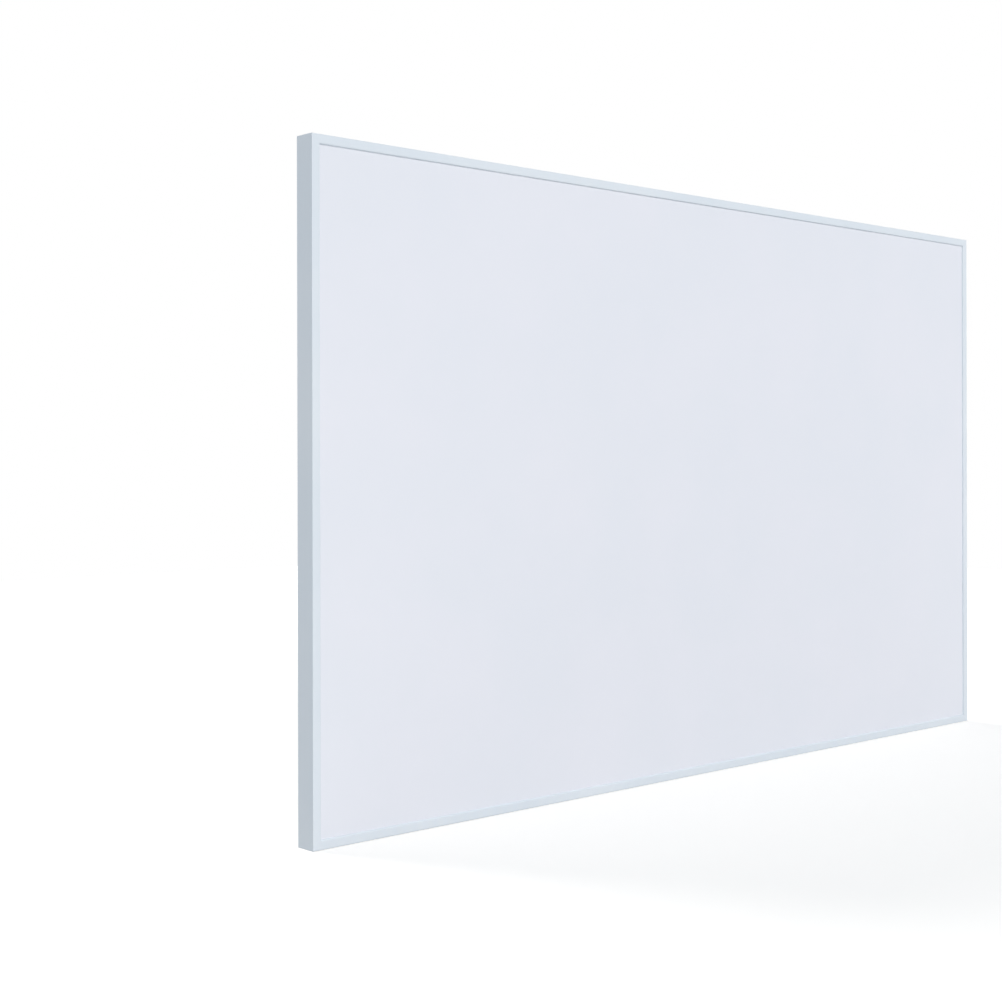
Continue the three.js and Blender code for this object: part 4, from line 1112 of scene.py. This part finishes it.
def make_cap(level, side, end, y, z, half_y, half_z):
    """An end cap: a softened flange, a shallow rim on its face, and the insert in the tube."""
    out = 1 if side == "right" else -1
    steps = [*CAP_ROOT]
    for i in range(CAP_EDGE_STEPS + 1):
        a = math.radians(90 * i / CAP_EDGE_STEPS)
        steps.append((CAP_FLANGE - CAP_EDGE * (1 - math.sin(a)), CAP_EDGE * (1 - math.cos(a))))
    rim_out, rim_in, rim_depth = CAP_RIM
    steps += [(CAP_FLANGE, rim_out), (CAP_FLANGE - rim_depth, rim_in)]
    rings = []
    for reach, inset in steps:
        radius = max(CAP_CORNER - inset, CAP_LEAST_CORNER)
        outline = rounded_rect(half_y - inset, half_z - inset, radius)
        rings.append([(end + out * reach, y + u, z + v) for u, v in outline])
    cap = loft(f"cap_{level}_{side}", rings)
    insert_y = half_y - RAIL_WALL - FACE_GAP
    insert_z = half_z - RAIL_WALL - FACE_GAP
    tab = rounded_rect(insert_y, insert_z, 0.8)
    pocket = rounded_rect(insert_y - CAP_INSERT_WALL, insert_z - CAP_INSERT_WALL, 0.5)
    insert_at = (end - out * CAP_INSERT_DEPTH, end + out)
    pocket_at = (end - out * (CAP_INSERT_DEPTH + 1), end)
    combine(cap, "UNION", loft("insert", [[(x, y + u, z + v) for u, v in tab] for x in insert_at]))
    cut(cap, loft("pocket", [[(x, y + u, z + v) for u, v in pocket] for x in pocket_at]))
    return dress(cap, CAP_PLASTIC, (f"rail_cap_{level}_{side}",), 30)


make_rail("upper")
make_rail("lower")


# --- Junction box ---

BOX_CORNER = 3.5
BOX_WALL = 2
BOX_EDGE = 1.3
BOX_SEAM = 0.35
BOX_EDGE_STEPS = 7
LABEL_CORNER = 1.2
# Each bar's near edge from the plate's middle, and its width, seen from the rear.
LABEL_BARS = ((-21.2, 5.9), (10.8, 9.2))
LABEL_BAR_MARGIN = 0.9
# A print's level over its foil, and how far its edge is drawn in there.
BAR_LEVELS = ((-0.05, 0), (0.03, 0), (0.05, 0.03))
STICKER_INNER = 0.8
STICKER_EDGE = 0.08


def make_box_lid():
    low, high = lid_low, lid_high
    half_u = (high.x - low.x) / 2
    half_v = (high.z - low.z) / 2
    steps = [(0, BOX_SEAM), (BOX_SEAM, 0), (high.y - low.y - BOX_EDGE, 0)]
    for i in range(1, BOX_EDGE_STEPS + 1):
        a = math.radians(90 * i / BOX_EDGE_STEPS)
        steps.append((high.y - low.y - BOX_EDGE * (1 - math.sin(a)), BOX_EDGE * (1 - math.cos(a))))
    rings = []
    for reach, inset in steps:
        outline = rounded_rect(half_u - inset, half_v - inset, max(BOX_CORNER - inset, 1), 10)
        rings.append([(lid_middle.x + u, low.y + reach, lid_middle.z + v) for u, v in outline])
    lid = loft("junction_box_lid", rings)
    inner = rounded_rect(half_u - BOX_WALL, half_v - BOX_WALL, BOX_CORNER - BOX_WALL)
    levels = (low.y - 1, high.y - BOX_WALL)
    rings = [[(lid_middle.x + u, y, lid_middle.z + v) for u, v in inner] for y in levels]
    hollow = loft("hollow", rings)
    gland_y = cover_rear + GLAND_HEIGHT
    under, over = low.z - 1, low.z + BOX_WALL + 1
    profile = [(AXIS, under), (GLAND_HOLE, under), (GLAND_HOLE, over), (AXIS, over)]
    hole = revolve("gland_hole", profile, lambda u, v, z: Vector((lid_middle.x + u, gland_y + v, z)))
    cut(lid, hollow, hole)
    return dress(lid, BOX_PLASTIC, ("box_lid",), 30)


def make_label():
    """The rating plate: a black foil with two upright pale bars, seen from the rear."""
    low, high = box_mm("rating_plate")
    middle = (low + high) / 2
    half_u = (high.x - low.x) / 2
    half_v = (high.z - low.z) / 2
    edge = (high.y - low.y) / 2
    rings = []
    for y, inset in ((low.y, 0), (high.y - edge, 0), (high.y, edge)):
        outline = rounded_rect(half_u - inset, half_v - inset, LABEL_CORNER)
        rings.append([(middle.x + u, y, middle.z + v) for u, v in outline])
    plate = loft("label_foil", rings)
    dress(plate, LABEL_BLACK, ("rating_plate",), 50)
    for index, (left, width) in enumerate(LABEL_BARS, 1):
        # Seen from the rear, x runs to the left.
        start = middle.x - left - width
        half_w = width / 2
        outline = rounded_rect(half_w, half_v - LABEL_BAR_MARGIN, 0.3, 3)
        rings = []
        for level, inset in BAR_LEVELS:
            narrow = 1 - inset / half_w
            rings.append([(start + half_w + u * narrow, high.y + level, middle.z + v) for u, v in outline])
        bar = loft(f"label_bar_{index}", rings)
        dress(bar, LABEL_GOLD, (), 50)


def make_sticker():
    """A round sticker: a pale rim and a green printed middle, on one thin disc."""
    low, high = box_mm("round_sticker")
    middle = (low + high) / 2
    radius = (high.x - low.x) / 2
    inner = radius * STICKER_INNER
    top = high.y
    place = about(middle)
    rim_profile = [
        (AXIS, low.y),
        (radius, low.y),
        (radius, top - STICKER_EDGE),
        (radius - STICKER_EDGE, top),
        (AXIS, top),
    ]
    rim = revolve("sticker_rim", rim_profile, place, 96)
    dress(rim, STICKER_RIM, ("round_sticker",), 50)
    print_profile = [
        (AXIS, top - 0.05),
        (inner, top - 0.05),
        (inner, top + 0.02),
        (inner - 0.03, top + 0.04),
        (AXIS, top + 0.04),
    ]
    print_disc = revolve("sticker_print", print_profile, place, 96)
    dress(print_disc, STICKER_PRINT, (), 50)


make_box_lid()
make_label()
make_sticker()


# --- Solids that stay, with their finishes ---

KEPT_FINISHES = {
    "front_panel": FRONT_COAT,
    "back_cover": COVER_COAT,
    "heating_film": HEATING_FILM,
    "bus_bar": COPPER,
    "insulation_board": MINERAL_BOARD,
    "corner_key": ZINC,
    "rail_rivet": ALUMINIUM,
    "box_base": BOX_PLASTIC,
    "box_screw": ZINC,
    "terminal_block": CREAM_PLASTIC,
    "terminal_screw": BRASS,
    "cord_clamp": CREAM_PLASTIC,
    "cord_inner_end": CORD_PVC,
    "lead_grommet": GLAND_RUBBER,
    "lead_wire": SILICONE,
    "cutout_cap": ALUMINIUM,
    "cutout_case": PHENOLIC,
    "cutout_pin": CERAMIC,
    "cutout_blade": BRASS,
    "cutout_root_contact": BRASS,
    "cutout_tip_contact": BRASS,
}
for name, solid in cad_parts.items():
    for start, material in KEPT_FINISHES.items():
        if name.startswith(start):
            solid.data.materials.clear()
            solid.data.materials.append(material)


# --- Light, floor and background ---

FLOOR_SIZE = 6.0
FLOOR_GAP = 0.2
FLOOR_COLOUR = (0.62, 0.61, 0.59, 1)
FLOOR_LIFT = 0.47
AMBIENT = 0.37
AMBIENT_TINT = (0.86, 0.99, 1.13, 1)
SUN_SPREAD = 30
SUNS = (
    # name, where it stands, strength, colour
    ("front_sun", (-0.1, -1, 0.5), 1.92, (1, 0.95, 0.9)),
    ("rear_sun", (-0.2, 1, 0.9), 2.2, (1, 0.96, 0.91)),
)


def make_world():
    world = bpy.data.worlds.new("World")
    world.use_nodes = True
    nodes = world.node_tree.nodes
    links = world.node_tree.links
    nodes.clear()
    path = nodes.new("ShaderNodeLightPath")
    seen = nodes.new("ShaderNodeMath")
    seen.operation = "MAXIMUM"
    both = nodes.new("ShaderNodeMath")
    both.operation = "MAXIMUM"
    links.new(path.outputs["Is Camera Ray"], seen.inputs[0])
    links.new(path.outputs["Is Glossy Ray"], seen.inputs[1])
    links.new(seen.outputs[0], both.inputs[0])
    links.new(path.outputs["Is Transmission Ray"], both.inputs[1])
    ambient = nodes.new("ShaderNodeBackground")
    ambient.inputs["Color"].default_value = AMBIENT_TINT
    ambient.inputs["Strength"].default_value = AMBIENT
    white = nodes.new("ShaderNodeBackground")
    white.inputs["Color"].default_value = (1, 1, 1, 1)
    mix = nodes.new("ShaderNodeMixShader")
    links.new(both.outputs[0], mix.inputs["Fac"])
    links.new(ambient.outputs[0], mix.inputs[1])
    links.new(white.outputs[0], mix.inputs[2])
    out = nodes.new("ShaderNodeOutputWorld")
    links.new(mix.outputs[0], out.inputs["Surface"])
    bpy.context.scene.world = world


def make_suns():
    for name, place, strength, colour in SUNS:
        data = bpy.data.lights.new(name, "SUN")
        data.angle = math.radians(SUN_SPREAD)
        data.energy = strength
        data.color = colour
        sun = bpy.data.objects.new(name, data)
        sun.location = place
        sun.rotation_euler = (-Vector(place)).to_track_quat("-Z", "Y").to_euler()
        bpy.context.scene.collection.objects.link(sun)


def make_floor():
    """A pale floor that looks white to the camera and keeps the object's shadow."""
    half = FLOOR_SIZE / 2 / MM
    z = panel_bottom - FLOOR_GAP
    corners = [(half * a, half * b, z) for a, b in FOUR_CORNERS]
    floor = mesh_object("floor", corners, [(0, 1, 2, 3)])
    material = bpy.data.materials.new("floor")
    material.use_nodes = True
    nodes = material.node_tree.nodes
    links = material.node_tree.links
    shader = nodes["Principled BSDF"]
    shader.inputs["Base Color"].default_value = FLOOR_COLOUR
    shader.inputs["Roughness"].default_value = 0.9
    glow = nodes.new("ShaderNodeEmission")
    path = nodes.new("ShaderNodeLightPath")
    lift = nodes.new("ShaderNodeMath")
    lift.operation = "MULTIPLY"
    lift.inputs[1].default_value = FLOOR_LIFT
    links.new(path.outputs["Is Camera Ray"], lift.inputs[0])
    links.new(lift.outputs[0], glow.inputs["Strength"])
    add = nodes.new("ShaderNodeAddShader")
    links.new(shader.outputs[0], add.inputs[0])
    links.new(glow.outputs[0], add.inputs[1])
    links.new(add.outputs[0], nodes["Material Output"].inputs["Surface"])
    floor.data.materials.append(material)


make_world()
make_suns()
make_floor()
bpy.context.scene.view_settings.view_transform = "Standard"
